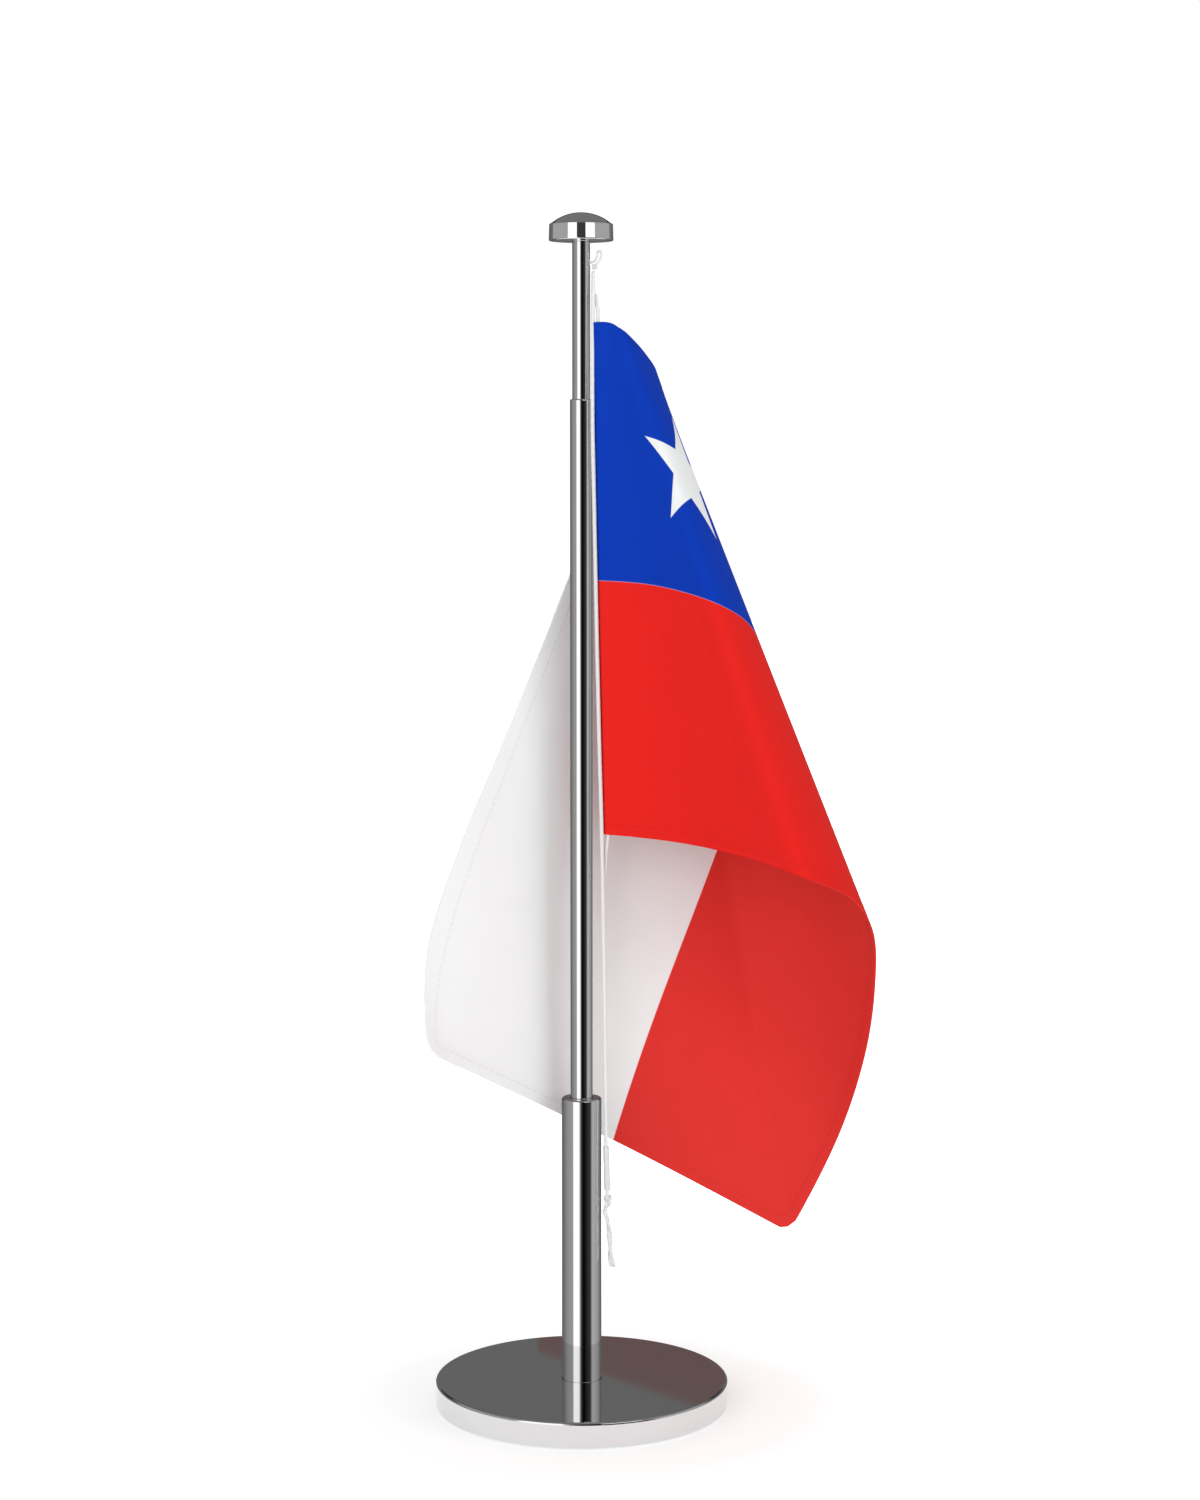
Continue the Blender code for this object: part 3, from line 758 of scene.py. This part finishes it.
def make_camera():
    data = bpy.data.cameras.new("camera")
    data.lens = CAMERA_LENS
    data.sensor_width = 36
    data.clip_end = 20
    camera = bpy.data.objects.new("camera", data)
    bpy.context.scene.collection.objects.link(camera)
    camera.location = CAMERA_PLACE
    level = math.cos(CAMERA_PITCH)
    forward = Vector((math.sin(CAMERA_YAW) * level, math.cos(CAMERA_YAW) * level, -math.sin(CAMERA_PITCH)))
    camera.rotation_euler = forward.to_track_quat("-Z", "Y").to_euler()
    bpy.context.scene.camera = camera


def seen_only_by(obj, camera=False, glossy=False):
    """Hides a stage piece from all but the camera or the mirror images. It casts no shadow."""
    obj.visible_camera = camera
    obj.visible_glossy = glossy
    obj.visible_diffuse = False
    obj.visible_transmission = False
    obj.visible_volume_scatter = False
    obj.visible_shadow = False


def stage_mesh(name, corners, faces, finish):
    mesh = bpy.data.meshes.new(name)
    mesh.from_pydata([tuple(c) for c in corners], [], faces)
    mesh.materials.append(finish)
    made = bpy.data.objects.new(name, mesh)
    bpy.context.scene.collection.objects.link(made)
    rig.stage(made)
    return made


def on_sphere(azimuth, elevation, radius):
    """A point seen from the stand's middle at an azimuth from the front towards +X."""
    a, e = math.radians(azimuth), math.radians(elevation)
    level = math.cos(e) * radius
    return (math.sin(a) * level, -math.cos(a) * level, STAGE_MIDDLE + math.sin(e) * radius)


def make_floor():
    """A pale floor that brightens to plain white away from the stand.

    The chrome sees only the round part by the foot.
    """
    material = Nodes("pale_floor")
    place = material.node("ShaderNodeSeparateXYZ", Vector=material.place())
    from_pole = material.length(place.outputs["X"], place.outputs["Y"])
    material.set(
        Base_Color=material.mix(material.noise(3, 2), (0.86, 0.86, 0.86), (0.89, 0.89, 0.89)),
        Roughness=0.9,
        Specular_IOR_Level=0.1,
        Emission_Color=(1.0, 1.0, 1.0, 1.0),
        Emission_Strength=material.ramp(from_pole, 0.066, 0.2, 0.4, 1.1),
    )
    around = 64
    rings = []
    for radius in (NEAR_FLOOR, FAR_FLOOR):
        angles = [2 * math.pi * k / around for k in range(around)]
        rings.append([(radius * math.cos(a), radius * math.sin(a), 0) for a in angles])
    near = stage_mesh("floor_near", rings[0], [tuple(range(around))], material.material)
    near.visible_diffuse = False
    band = [(k, around + k, around + (k + 1) % around, (k + 1) % around) for k in range(around)]
    far = stage_mesh("floor", rings[0] + rings[1], band, material.material)
    far.visible_glossy = False
    far.visible_diffuse = False


def make_white_surround():
    """A white cyclorama behind everything, for the camera alone."""
    bpy.ops.mesh.primitive_uv_sphere_add(segments=48, ring_count=24, radius=5.5)
    surround = bpy.context.object
    surround.name = "surround"
    surround.data.materials.append(glow("surround_white", 1.05))
    seen_only_by(surround, camera=True)
    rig.stage(surround)


def make_studio_wall():
    """The ring of flats and softboxes that the chrome mirrors, lit in smooth steps by azimuth."""
    radius = 2.4
    columns = []
    for (start, from_light), (end, to_light) in zip(STUDIO_WALL, STUDIO_WALL[1:]):
        steps = max(1, round((end - start) / 3))
        for k in range(steps):
            share = k / steps
            columns.append((start + (end - start) * share, from_light + (to_light - from_light) * share))
    rows = (-35, -15, -5, 6.2, 16, 26)
    corners = [on_sphere(azimuth, elevation, radius) for azimuth, _ in columns for elevation in rows]
    count = len(columns)
    faces = []
    for i in range(count):
        after = (i + 1) % count
        for j in range(len(rows) - 1):
            a, b = i * len(rows) + j, after * len(rows) + j
            faces.append((a, b, b + 1, a + 1))
    material = glow("studio_flats", 1.0)
    tree = material.node_tree
    reading = tree.nodes.new("ShaderNodeAttribute")
    reading.attribute_name = "light"
    tree.links.new(reading.outputs["Fac"], tree.nodes["Emission"].inputs["Strength"])
    wall = stage_mesh("studio_flats", corners, faces, material)
    light = wall.data.attributes.new("light", "FLOAT", "POINT")
    light.data.foreach_set("value", [value for _, value in columns for _ in rows])
    seen_only_by(wall, glossy=True)


def make_card(name, azimuths, elevations, brightness, colour=(1, 1, 1), radius=2.3, steps=8):
    """A card that only the chrome sees."""
    low, high = elevations
    corners = []
    for k in range(steps + 1):
        azimuth = azimuths[0] + (azimuths[1] - azimuths[0]) * k / steps
        corners += [on_sphere(azimuth, low, radius), on_sphere(azimuth, high, radius)]
    faces = [(2 * k, 2 * k + 2, 2 * k + 3, 2 * k + 1) for k in range(steps)]
    card = stage_mesh(name, corners, faces, glow(name, brightness, colour))
    seen_only_by(card, glossy=True)


def make_painted_flag_reflection():
    """A dark red glowing card behind the stand to the right: a painted reflection of the flag, which mirror images
    leave out. Only the foot's top mirrors it.
    """
    outline = ((-0.028, 0.25), (-0.028, 0.301), (0.075, 0.338), (0.14, 0.345), (0.14, 0.25))
    corners = [(x, 1.0, z) for x, z in outline]
    # a dim red glow that paints the flag's reflection in the foot's top; it is no cloth
    cloth = glow("painted_flag_reflection_glow", 0.15, (1.0, 0.65, 0.65))
    painted_reflection_card = stage_mesh("painted_reflection_card", corners, [tuple(range(len(corners)))], cloth)
    seen_only_by(painted_reflection_card, glossy=True)


def make_soft_light(name, place, target, size, power):
    """A soft area light in metres and watts, turned to its target and left out of mirror images."""
    data = bpy.data.lights.new(name, "AREA")
    data.shape = "RECTANGLE"
    data.size, data.size_y = size
    data.energy = power
    light = bpy.data.objects.new(name, data)
    bpy.context.scene.collection.objects.link(light)
    light.location = place
    light.rotation_euler = (Vector(target) - Vector(place)).to_track_quat("-Z", "Y").to_euler()
    light.visible_glossy = False
    light.visible_camera = False


def make_world():
    """Light from all round, stronger from below, where a wide white table throws it back up."""
    world = bpy.data.worlds.new("studio")
    bpy.context.scene.world = world
    world.use_nodes = True
    tree = world.node_tree
    direction = tree.nodes.new("ShaderNodeTexCoord")
    height = tree.nodes.new("ShaderNodeSeparateXYZ")
    tree.links.new(direction.outputs["Generated"], height.inputs[0])
    brightness = tree.nodes.new("ShaderNodeMapRange")
    tree.links.new(height.outputs["Z"], brightness.inputs["Value"])
    for name, value in (("From Min", -0.6), ("From Max", 0.6), ("To Min", 1.05), ("To Max", 0.5)):
        brightness.inputs[name].default_value = value
    background = tree.nodes["Background"]
    background.inputs["Color"].default_value = (1.0, 1.0, 1.0, 1.0)
    tree.links.new(brightness.outputs[0], background.inputs["Strength"])


def make_studio():
    """The plain bright studio round the stand, and all that its chrome mirrors."""
    bpy.context.scene.view_settings.view_transform = "Standard"
    make_world()
    make_floor()
    make_white_surround()
    make_studio_wall()
    cap_cards = (
        ("side_left", -120, -48, 0.46),
        ("box_left", -48, -15, 1.4),
        ("gap_dark", -15, 16, 0.05),
        ("box_right", 16, 50, 1.4),
        ("side_right", 50, 120, 0.46),
    )
    for name, start, end, brightness in cap_cards:
        make_card(f"cap_{name}", (start, end), (14.3, 30), brightness, radius=1.0)
    make_card("behind_low", (150, 210), (6.5, 17), 0.15)
    make_card("behind_dark", (100, 260), (17, 36), 0.02, steps=24)
    make_card("ceiling", (-180, 180), (26, 90), 0.2, steps=48)
    make_painted_flag_reflection()
    middle = (0, 0, STAGE_MIDDLE)
    make_soft_light("key", (-0.7, -1.6, 0.6), middle, (1.0, 1.0), 10)
    make_soft_light("fill", (1.3, -1.0, 0.4), middle, (1.0, 1.0), 7)
    make_soft_light("overhead", (0, 0.1, 1.8), middle, (1.8, 1.8), 2)


# ---------------------------------------------------------------- the pole and the foot


def top_of(node):
    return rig.box(node)[1][2]


def bottom_of(node):
    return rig.box(node)[0][2]


def radius_of(node):
    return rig.box(node)[1][0]


def make_foot(finish):
    """The foot's disc: an eased rim, a shallow seat for the lower tube, and recesses for pad and screw."""
    radius, top, bottom = radius_of("base_disc"), top_of("base_disc"), bottom_of("base_disc")
    pad_radius = radius_of("desk_pad")
    tube_radius = radius_of("lower_tube")
    edge = 0.75 * MM
    low_edge = 0.4 * MM
    seat = tube_radius + 0.12 * MM
    seat_edge = 0.1 * MM
    seat_floor = top - 1.0 * MM
    recess = top_of("desk_pad") + 0.3 * MM
    screw_hole = 3.2 * MM
    head_radius = 7.2 * MM
    head_recess = bottom + 4.65 * MM
    profile = [
        (pad_radius + 0.4 * MM, recess),
        (pad_radius + 0.4 * MM, bottom),
        *arc(radius - low_edge, bottom + low_edge, low_edge, -90, 0, 4),
        (radius, bottom + low_edge + FLAT_END),
        (radius, top - edge - FLAT_END),
        *arc(radius - edge, top - edge, edge, 0, 90, 10),
        (radius - edge - FLAT_END, top),
        *((radius * share, top) for share in (0.9, 0.7, 0.5, 0.3)),
        (seat + seat_edge + FLAT_END, top),
        *arc(seat + seat_edge, top - seat_edge, seat_edge, 90, 180, 3),
        (seat, seat_floor),
        (screw_hole, seat_floor),
        (screw_hole, head_recess),
        (head_radius, head_recess),
        (head_radius, recess),
    ]
    foot = lathe("foot_disc", profile, finish, "foot", segments=160)
    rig.replaces(foot, "base_disc")
    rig.slot(foot, "chrome")


def make_lower_tube(finish):
    """The thick lower tube, its rounded rim rolled in to the middle tube."""
    node = "lower_tube"
    radius, top, bottom = radius_of(node), top_of(node), bottom_of(node)
    mouth = radius_of("middle_tube") + 0.2 * MM
    bore = radius - 1.5 * MM
    edge = 0.55 * MM
    inner_edge = 0.25 * MM
    lip = 1.2 * MM
    foot_edge = 0.15 * MM
    profile = [
        (bore, bottom),
        (radius - foot_edge, bottom),
        (radius, bottom + foot_edge),
        (radius, bottom + foot_edge + FLAT_END),
        *((radius, bottom + (top - bottom) * share) for share in (0.2, 0.4, 0.6, 0.8)),
        (radius, top - edge - FLAT_END),
        *arc(radius - edge, top - edge, edge, 0, 90, 8),
        *arc(mouth + inner_edge, top - inner_edge, inner_edge, 90, 180, 5),
        (mouth, top - lip),
        (bore, top - lip),
    ]
    tube = lathe("lower_sleeve", profile, finish, "foot", segments=96)
    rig.replaces(tube, node)
    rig.slot(tube, "chrome")


def make_middle_tube(finish):
    """The slim middle tube, its rim rolled in to the top tube."""
    node = "middle_tube"
    radius, top, bottom = radius_of(node), top_of(node), bottom_of(node)
    mouth = radius_of("top_tube") + 0.08 * MM
    bore = radius - 0.35 * MM
    edge = 0.42 * MM
    inner_edge = 0.05 * MM
    profile = [
        (bore, bottom),
        (radius, bottom),
        *((radius, bottom + (top - bottom) * k / 8) for k in range(1, 8)),
        (radius, top - edge - FLAT_END),
        *arc(radius - edge, top - edge, edge, 0, 90, 8),
        (mouth + inner_edge, top),
        (mouth, top - inner_edge),
        (mouth, top - 1.2 * MM),
        (bore, top - 1.5 * MM),
    ]
    tube = lathe("middle_sleeve", profile, finish, "middle_pole", segments=80)
    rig.replaces(tube, node)
    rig.slot(tube, "chrome")


def make_top_tube(finish):
    """The slimmest tube, with a small hole near its top for the halyard."""
    node = "top_tube"
    radius, top, bottom = radius_of(node), top_of(node), bottom_of(node)
    bore = radius - 0.42 * MM
    profile = [(bore, bottom), (radius, bottom)]
    profile += [(radius, bottom + (top - bottom) * k / 8) for k in range(1, 9)]
    profile += [(bore, top)]
    tube = lathe("top_sleeve", profile, finish, None, segments=80)
    drill_cord_hole(tube, radius)
    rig.ride(tube, "top_pole")
    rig.replaces(tube, node)
    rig.slot(tube, "chrome")


def drill_cord_hole(tube, radius):
    """Cuts the halyard's hole through the tube's wall on the flag's side."""
    height = LOOP_ROUTE[0][2] * MM
    bm = bmesh.new()
    hole = 0.95 * MM
    bmesh.ops.create_cone(bm, cap_ends=True, segments=32, radius1=hole, radius2=hole, depth=3 * MM)
    mesh = bpy.data.meshes.new("drill")
    bm.to_mesh(mesh)
    bm.free()
    drill = bpy.data.objects.new("drill", mesh)
    bpy.context.scene.collection.objects.link(drill)
    drill.location = (radius, 0, height)
    drill.rotation_euler = (0, math.radians(90), 0)
    cut = tube.modifiers.new("hole", "BOOLEAN")
    cut.operation = "DIFFERENCE"
    cut.solver = "EXACT"
    cut.object = drill
    graph = bpy.context.evaluated_depsgraph_get()
    drilled = bpy.data.meshes.new_from_object(tube.evaluated_get(graph))
    tube.modifiers.clear()
    tube.data = drilled
    bpy.data.objects.remove(drill, do_unlink=True)


def make_cap(finish):
    """The mushroom cap: a slightly drafted wall, a soft shoulder and a shallow dome over a blind socket."""
    node = "cap_body"
    radius, top, bottom = radius_of(node), top_of(node), bottom_of(node)
    dome_radius = 13.7 * MM
    shoulder_radius = radius - 0.55 * MM
    centre = top - dome_radius
    shoulder = centre + math.sqrt(dome_radius**2 - shoulder_radius**2)
    socket = radius_of("top_tube") + 0.08 * MM
    draft = 0.13 * MM
    edge = 0.3 * MM
    socket_edge = 0.15 * MM
    socket_end = top - 4.4 * MM
    shoulder_edge = 0.42 * MM
    wall_top = shoulder - 0.33 * MM
    dome_start = math.degrees(math.acos(shoulder_radius / dome_radius))
    profile = [
        (socket, bottom + socket_edge),
        (socket + socket_edge, bottom),
        (radius - edge - FLAT_END, bottom),
        *arc(radius - edge, bottom + edge, edge, -90, 0, 6),
        (radius, bottom + edge + FLAT_END),
        (radius - draft, wall_top - FLAT_END),
        *arc(radius - draft - shoulder_edge, wall_top, shoulder_edge, 0, dome_start - 5, 6),
        *arc(0, centre, dome_radius, dome_start, 90, 18)[:-1],
        (0.0, top),
        (0.0, socket_end),
        (socket, socket_end),
    ]
    cap = lathe("cap_dome", profile, finish, "top_pole", segments=128)
    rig.replaces(cap, node)
    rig.slot(cap, "chrome")


def finish_inner_pieces():
    """Gives the pieces that keep their CAD shape their materials."""
    steel, brass = plated_steel(), turned_brass()
    black = moulded("black_acetal", (0.018, 0.018, 0.02), 0.42, 900, 0.00003)
    finishes = {
        "desk_pad": moulded("foam_pad", (0.035, 0.035, 0.038), 0.9, 1400, 0.0002),
        "stop_buffer": moulded("buffer_rubber", (0.025, 0.025, 0.025), 0.75, 800, 0.00005),
        "guide_bush": black,
        "middle_plug": black,
        "middle_spring": brass,
        "top_spring": brass,
        "top_plug": brass,
    }
    for node in ("base_screw", "lock_washer", "flat_washer", "tube_insert", "cap_insert", "cap_stud"):
        finishes[node] = steel
    for node, finish in finishes.items():
        for place in frame["nodes"][node].material_slots:
            place.material = finish


# ---------------------------------------------------------------- the flag


def hung_cloth():
    """A function that says where the point along and down from the hoist's top corner hangs.

    The cloth is made of straight lines. Laid flat, they fan out from a point FAN_ABOVE over that corner.
    Each runs from the top edge to the bottom edge, or to the fly edge where it passes that first.
    """
    top = through([row[0] for row in TOP_EDGE], [row[1:] for row in TOP_EDGE])
    bottom = through([row[0] for row in BOTTOM_EDGE], [row[1:] for row in BOTTOM_EDGE])
    fly = through(
        (0, FLAG_HEIGHT / 2, FLAG_HEIGHT),
        (TOP_EDGE[-1][1:], FLY_MIDDLE, BOTTOM_EDGE[-1][1:]),
    )
    corner = math.atan2(FLAG_LENGTH, FLAG_HEIGHT + FAN_ABOVE)

    def place(along, down):
        angle = math.atan2(along, down + FAN_ABOVE)
        reach = math.hypot(along, down + FAN_ABOVE)
        first = FAN_ABOVE / math.cos(angle)
        start = top(min(FAN_ABOVE * math.tan(angle), FLAG_LENGTH))
        if angle < corner:
            last = (FLAG_HEIGHT + FAN_ABOVE) / math.cos(angle)
            end = bottom((FLAG_HEIGHT + FAN_ABOVE) * math.tan(angle))
        else:
            last = FLAG_LENGTH / math.sin(angle)
            end = fly(max(FLAG_LENGTH / math.tan(angle) - FAN_ABOVE, 0))
        share = (reach - first) / max(last - first, 1e-6)
        return start + (end - start) * share

    return place


def grid_lines(length, spacing, hems):
    """Stations across the cloth, with close pairs where each hem's fold and inner edge are."""
    inner = [HEM_WIDTH, HEM_WIDTH + 0.35]
    lines = [0.0, 0.3] + inner if hems[0] else [0.0]
    start = lines[-1]
    end = length - (HEM_WIDTH + 0.35 if hems[1] else 0.0)
    count = round((end - start) / spacing)
    lines += [start + (end - start) * k / count for k in range(1, count + 1)]
    if hems[1]:
        lines += [length - HEM_WIDTH, length - 0.3, length]
    return lines


def tunnel_offset(along):
    """How far the hoist's tunnel stands off the cloth's middle, over the rope and down to its seam."""
    share = min(max(along / TUNNEL_WIDTH, 0.0), 1.0)
    to_peak = 3.5  # brings the curve's peak, at a fifth of the width, to 1
    return to_peak * TUNNEL_BULGE * math.sqrt(share) * (1 - share) ** 2


def with_soft_corner(along, down):
    """Draws a point in the square of a fly corner in, so that the corner is round."""
    corner = FLAG_LENGTH - CORNER_RADIUS
    past_side = along - corner
    low = down > FLAG_HEIGHT / 2
    past_end = down - (FLAG_HEIGHT - CORNER_RADIUS) if low else CORNER_RADIUS - down
    if past_side <= 0 or past_end <= 0:
        return along, down
    shrink = max(past_side, past_end) / math.hypot(past_side, past_end)
    along = corner + past_side * shrink
    down = FLAG_HEIGHT - CORNER_RADIUS + past_end * shrink if low else CORNER_RADIUS - past_end * shrink
    return along, down


def cloth_columns():
    """Stations along the cloth. Negative ones are the tunnel's second layer, folded to the back."""
    steps = 8
    behind = [-TUNNEL_WIDTH * 1.2] + [-TUNNEL_WIDTH * k / steps for k in range(steps, 0, -1)]
    tunnel = [TUNNEL_WIDTH * k / steps for k in range(steps)]
    rest = [v + TUNNEL_WIDTH for v in grid_lines(FLAG_LENGTH - TUNNEL_WIDTH, 1.7, (False, True))]
    return behind + tunnel + rest


def across_cloth(place, along, down):
    """The cloth's normal at a point, from its neighbours half a millimetre away."""
    across = Vector(place(along + 0.5, down) - place(max(along - 0.5, 0), down))
    fall = Vector(place(along, min(down + 0.5, FLAG_HEIGHT)) - place(along, max(down - 0.5, 0)))
    return across.cross(fall).normalized()


def make_flag(front_print, back_print):
    """The flag as one sheet with its hoist folded over the rope, thickened evenly to both sides."""
    place = hung_cloth()
    columns = cloth_columns()
    rows = grid_lines(FLAG_HEIGHT, 2.0, (True, True))
    bm = bmesh.new()
    uv = bm.loops.layers.uv.new("cloth")
    weights = []
    grid = []
    for along in columns:
        column = []
        for row in rows:
            at, down = with_soft_corner(abs(along), row)
            offset = -tunnel_offset(at)
            if along < 0:
                offset = max(-offset, LAYER_GAP)
            elif at >= TUNNEL_WIDTH:
                offset = 0.0
            point = Vector(place(at, down)) + across_cloth(place, at, down) * offset
            column.append(bm.verts.new(point * MM))
            near_edge = min(down, FLAG_HEIGHT - down, FLAG_LENGTH - at)
            weights.append(1.0 if near_edge <= HEM_WIDTH + 0.01 and along > 0 else SINGLE_SHARE)
        grid.append(column)
    for i, (left, right) in enumerate(zip(grid, grid[1:])):
        for j, corners in enumerate(zip(left, right, right[1:], left[1:])):
            face = bm.faces.new(corners)
            stations = ((i, j), (i + 1, j), (i + 1, j + 1), (i, j + 1))
            for loop, (a, b) in zip(face.loops, stations):
                loop[uv].uv = (columns[a] / FLAG_LENGTH, rows[b] / FLAG_HEIGHT)
    mesh = bpy.data.meshes.new("flag")
    bm.to_mesh(mesh)
    bm.free()
    flag = make_object("flag", mesh, back_print, None)
    mesh.materials.append(front_print)
    group = flag.vertex_groups.new(name="hem")
    for index, weight in enumerate(weights):
        group.add([index], weight, "REPLACE")
    thicken = flag.modifiers.new("thickness", "SOLIDIFY")
    thicken.thickness = CLOTH_THICKNESS * MM
    thicken.offset = 0.0
    thicken.vertex_group = "hem"
    thicken.material_offset = 1
    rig.ride(flag, "top_pole")
    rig.replaces(flag, "flag_cloth")
    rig.slot(flag, "flag_print")
    # the flag is left out of mirror images; a red glowing card paints its reflection in the foot instead
    flag.visible_glossy = False
    return flag


# ---------------------------------------------------------------- the cords


def make_halyard(finish):
    """The halyard, from the hole in the top tube down through the sleeve and the knot to its cut end."""
    route = [*HALYARD_ROUTE, THROUGH_KNOT, *TAIL_ROUTE]
    halyard = twisted_cord("halyard", evenly_along(route, CORD_SPACING), CORD_RADIUS, finish, "top_pole")
    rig.replaces(halyard, "halyard_cord", "cord_tail")
    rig.slot(halyard, "cord_white")
    path = [tuple(point * MM) for point in evenly_along(route, 3.0)]
    length = sum((Vector(b) - Vector(a)).length for a, b in zip(path, path[1:]))
    return halyard, path, length


def make_hoist_rope(finish):
    """The rope in the hoist's tunnel, whose short ends show above and below the flag."""
    place = hung_cloth()
    shares = (0.01, 0.04, 0.1, 0.2, 0.35, 0.5, 0.65, 0.8, 0.93, 0.99)
    in_hem = [place(ROPE_FROM_FOLD, FLAG_HEIGHT * share) for share in shares]
    points = evenly_along([*ROPE_ABOVE, *in_hem, *ROPE_BELOW], CORD_SPACING)
    rope = twisted_cord("hem_rope", points, CORD_RADIUS * 0.95, finish, "top_pole")
    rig.replaces(rope, "hoist_rope")
    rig.slot(rope, "cord_white")
    return rope


def make_top_loop(finish):
    """The small loop at the hole in the top tube, and the hitch that its tail makes round the cord."""
    radius = CORD_RADIUS * 0.55
    loop = twisted_cord("halyard_loop", evenly_along(LOOP_ROUTE, 0.3), radius, finish, "top_pole")
    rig.replaces(loop, "top_knot")
    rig.slot(loop, "cord_white")
    points = []
    count = 40
    for k in range(count):
        share = k / (count - 1)
        turn = 2 * math.pi * HITCH_TURNS * share
        x = HITCH_TOP[0] + HITCH_RADIUS * math.cos(turn)
        y = HITCH_TOP[1] + HITCH_RADIUS * math.sin(turn)
        points.append((x, y, HITCH_TOP[2] - HITCH_DROP * share))
    hitch = twisted_cord("halyard_hitch", points, radius, finish, "top_pole")
    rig.slot(hitch, "cord_white")
    return loop, hitch


def make_bottom_knot(finish):
    """An overhand knot pulled down round the cord."""
    points = []
    count = 90
    for k in range(count):
        t = 2 * math.pi * k / count
        x = (math.sin(t) + 2 * math.sin(2 * t)) / 3
        y = (math.cos(t) - 2 * math.cos(2 * t)) / 3
        z = -math.sin(3 * t)
        offset = (0.95 * x + 0.15 * z, 0.75 * z, 1.75 * y)
        points.append(tuple(centre + part for centre, part in zip(KNOT_CENTRE, offset)))
    knot = twisted_cord("stop_knot", points, CORD_RADIUS * 0.85, finish, "top_pole", closed=True)
    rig.replaces(knot, "bottom_knot")
    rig.slot(knot, "cord_white")
    return knot


def make_second_tail(finish):
    """The tail's other strand, lying against the first and splaying at its cut end."""
    points = []
    route = evenly_along(TAIL_ROUTE, CORD_SPACING)
    for i, (x, y, z) in enumerate(route):
        share = i / (len(route) - 1)
        turn = 2.2 * math.pi * share
        apart = 0.75 + 0.35 * share**4
        points.append((x - apart * math.cos(turn), y - apart * math.sin(turn), z + 0.2))
    strand = twisted_cord("tail_strand", points, CORD_RADIUS * 0.8, finish, "top_pole")
    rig.slot(strand, "cord_white")
    return strand


def make_cord_sleeve(finish):
    """The milky tube that holds the strands together above the knot, leaning with them."""
    low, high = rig.box("cord_sleeve")
    bottom, top = low[2], high[2]
    outer, inner = 0.92 * MM, 0.7 * MM
    edge = 0.12 * MM
    profile = [
        (inner, bottom + edge),
        *arc(outer - edge, bottom + edge, edge, -90, 0, 3),
        *arc(outer - edge, top - edge, edge, 0, 90, 3),
        (inner, top - edge),
    ]
    sleeve = lathe("strand_sleeve", profile, finish, None, segments=32)

    # carry each ring over to where the cord passes at its height
    curve = evenly_along(HALYARD_ROUTE, 1.0)
    heights = [point[2] for point in curve]
    for vertex in sleeve.data.vertices:
        nearest = min(range(len(heights)), key=lambda i: abs(heights[i] - vertex.co.z / MM))
        vertex.co.x += curve[nearest][0] * MM
        vertex.co.y += curve[nearest][1] * MM
    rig.ride(sleeve, "top_pole")
    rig.replaces(sleeve, "cord_sleeve")
    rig.slot(sleeve, "sleeve_clear")
    return sleeve


def make_cords():
    """All the white cords. The hem's rope is handed back, because it belongs to the flag."""
    yarn = cord_fibre()
    halyard, path, length = make_halyard(yarn)
    rope = make_hoist_rope(yarn)
    on_cord = [*make_top_loop(yarn), make_bottom_knot(yarn), make_second_tail(yarn)]
    on_cord.append(make_cord_sleeve(milky_tube()))
    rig.cord(
        halyard,
        exit=path[0],
        length=length,
        diameter=2 * CORD_RADIUS * MM,
        far_end="bare",
        stiffness="limp",
        lay="hanging",
        path=path,
        with_pieces=on_cord,
    )
    return rope


def main():
    make_camera()
    rope = make_cords()
    plate = chrome("chrome_plate", (0.76, 0.76, 0.765), 0.03)
    make_foot(plate)
    make_lower_tube(plate)
    make_middle_tube(plate)
    make_top_tube(plate)
    make_cap(plate)
    finish_inner_pieces()
    face = printed_cloth("printed_face", (0.79, 0.0185, 0.0145), (0.0035, 0.042, 0.445))
    reverse = printed_cloth("printed_reverse", (0.73, 0.038, 0.032), (0.006, 0.052, 0.43))
    flag = make_flag(face, reverse)
    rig.sheet(
        flag,
        flat=(FLAG_HEIGHT * MM, FLAG_LENGTH * MM),
        held="hung",
        rests_on=["halyard"],
        with_pieces=[rope],
    )
    make_studio()
    with open("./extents.json", "w") as out:
        boxes = {"cad": CAD_BOX, "visual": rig.bounds()}
        json.dump({key: [[float(v) for v in corner] for corner in box] for key, box in boxes.items()}, out)


main()
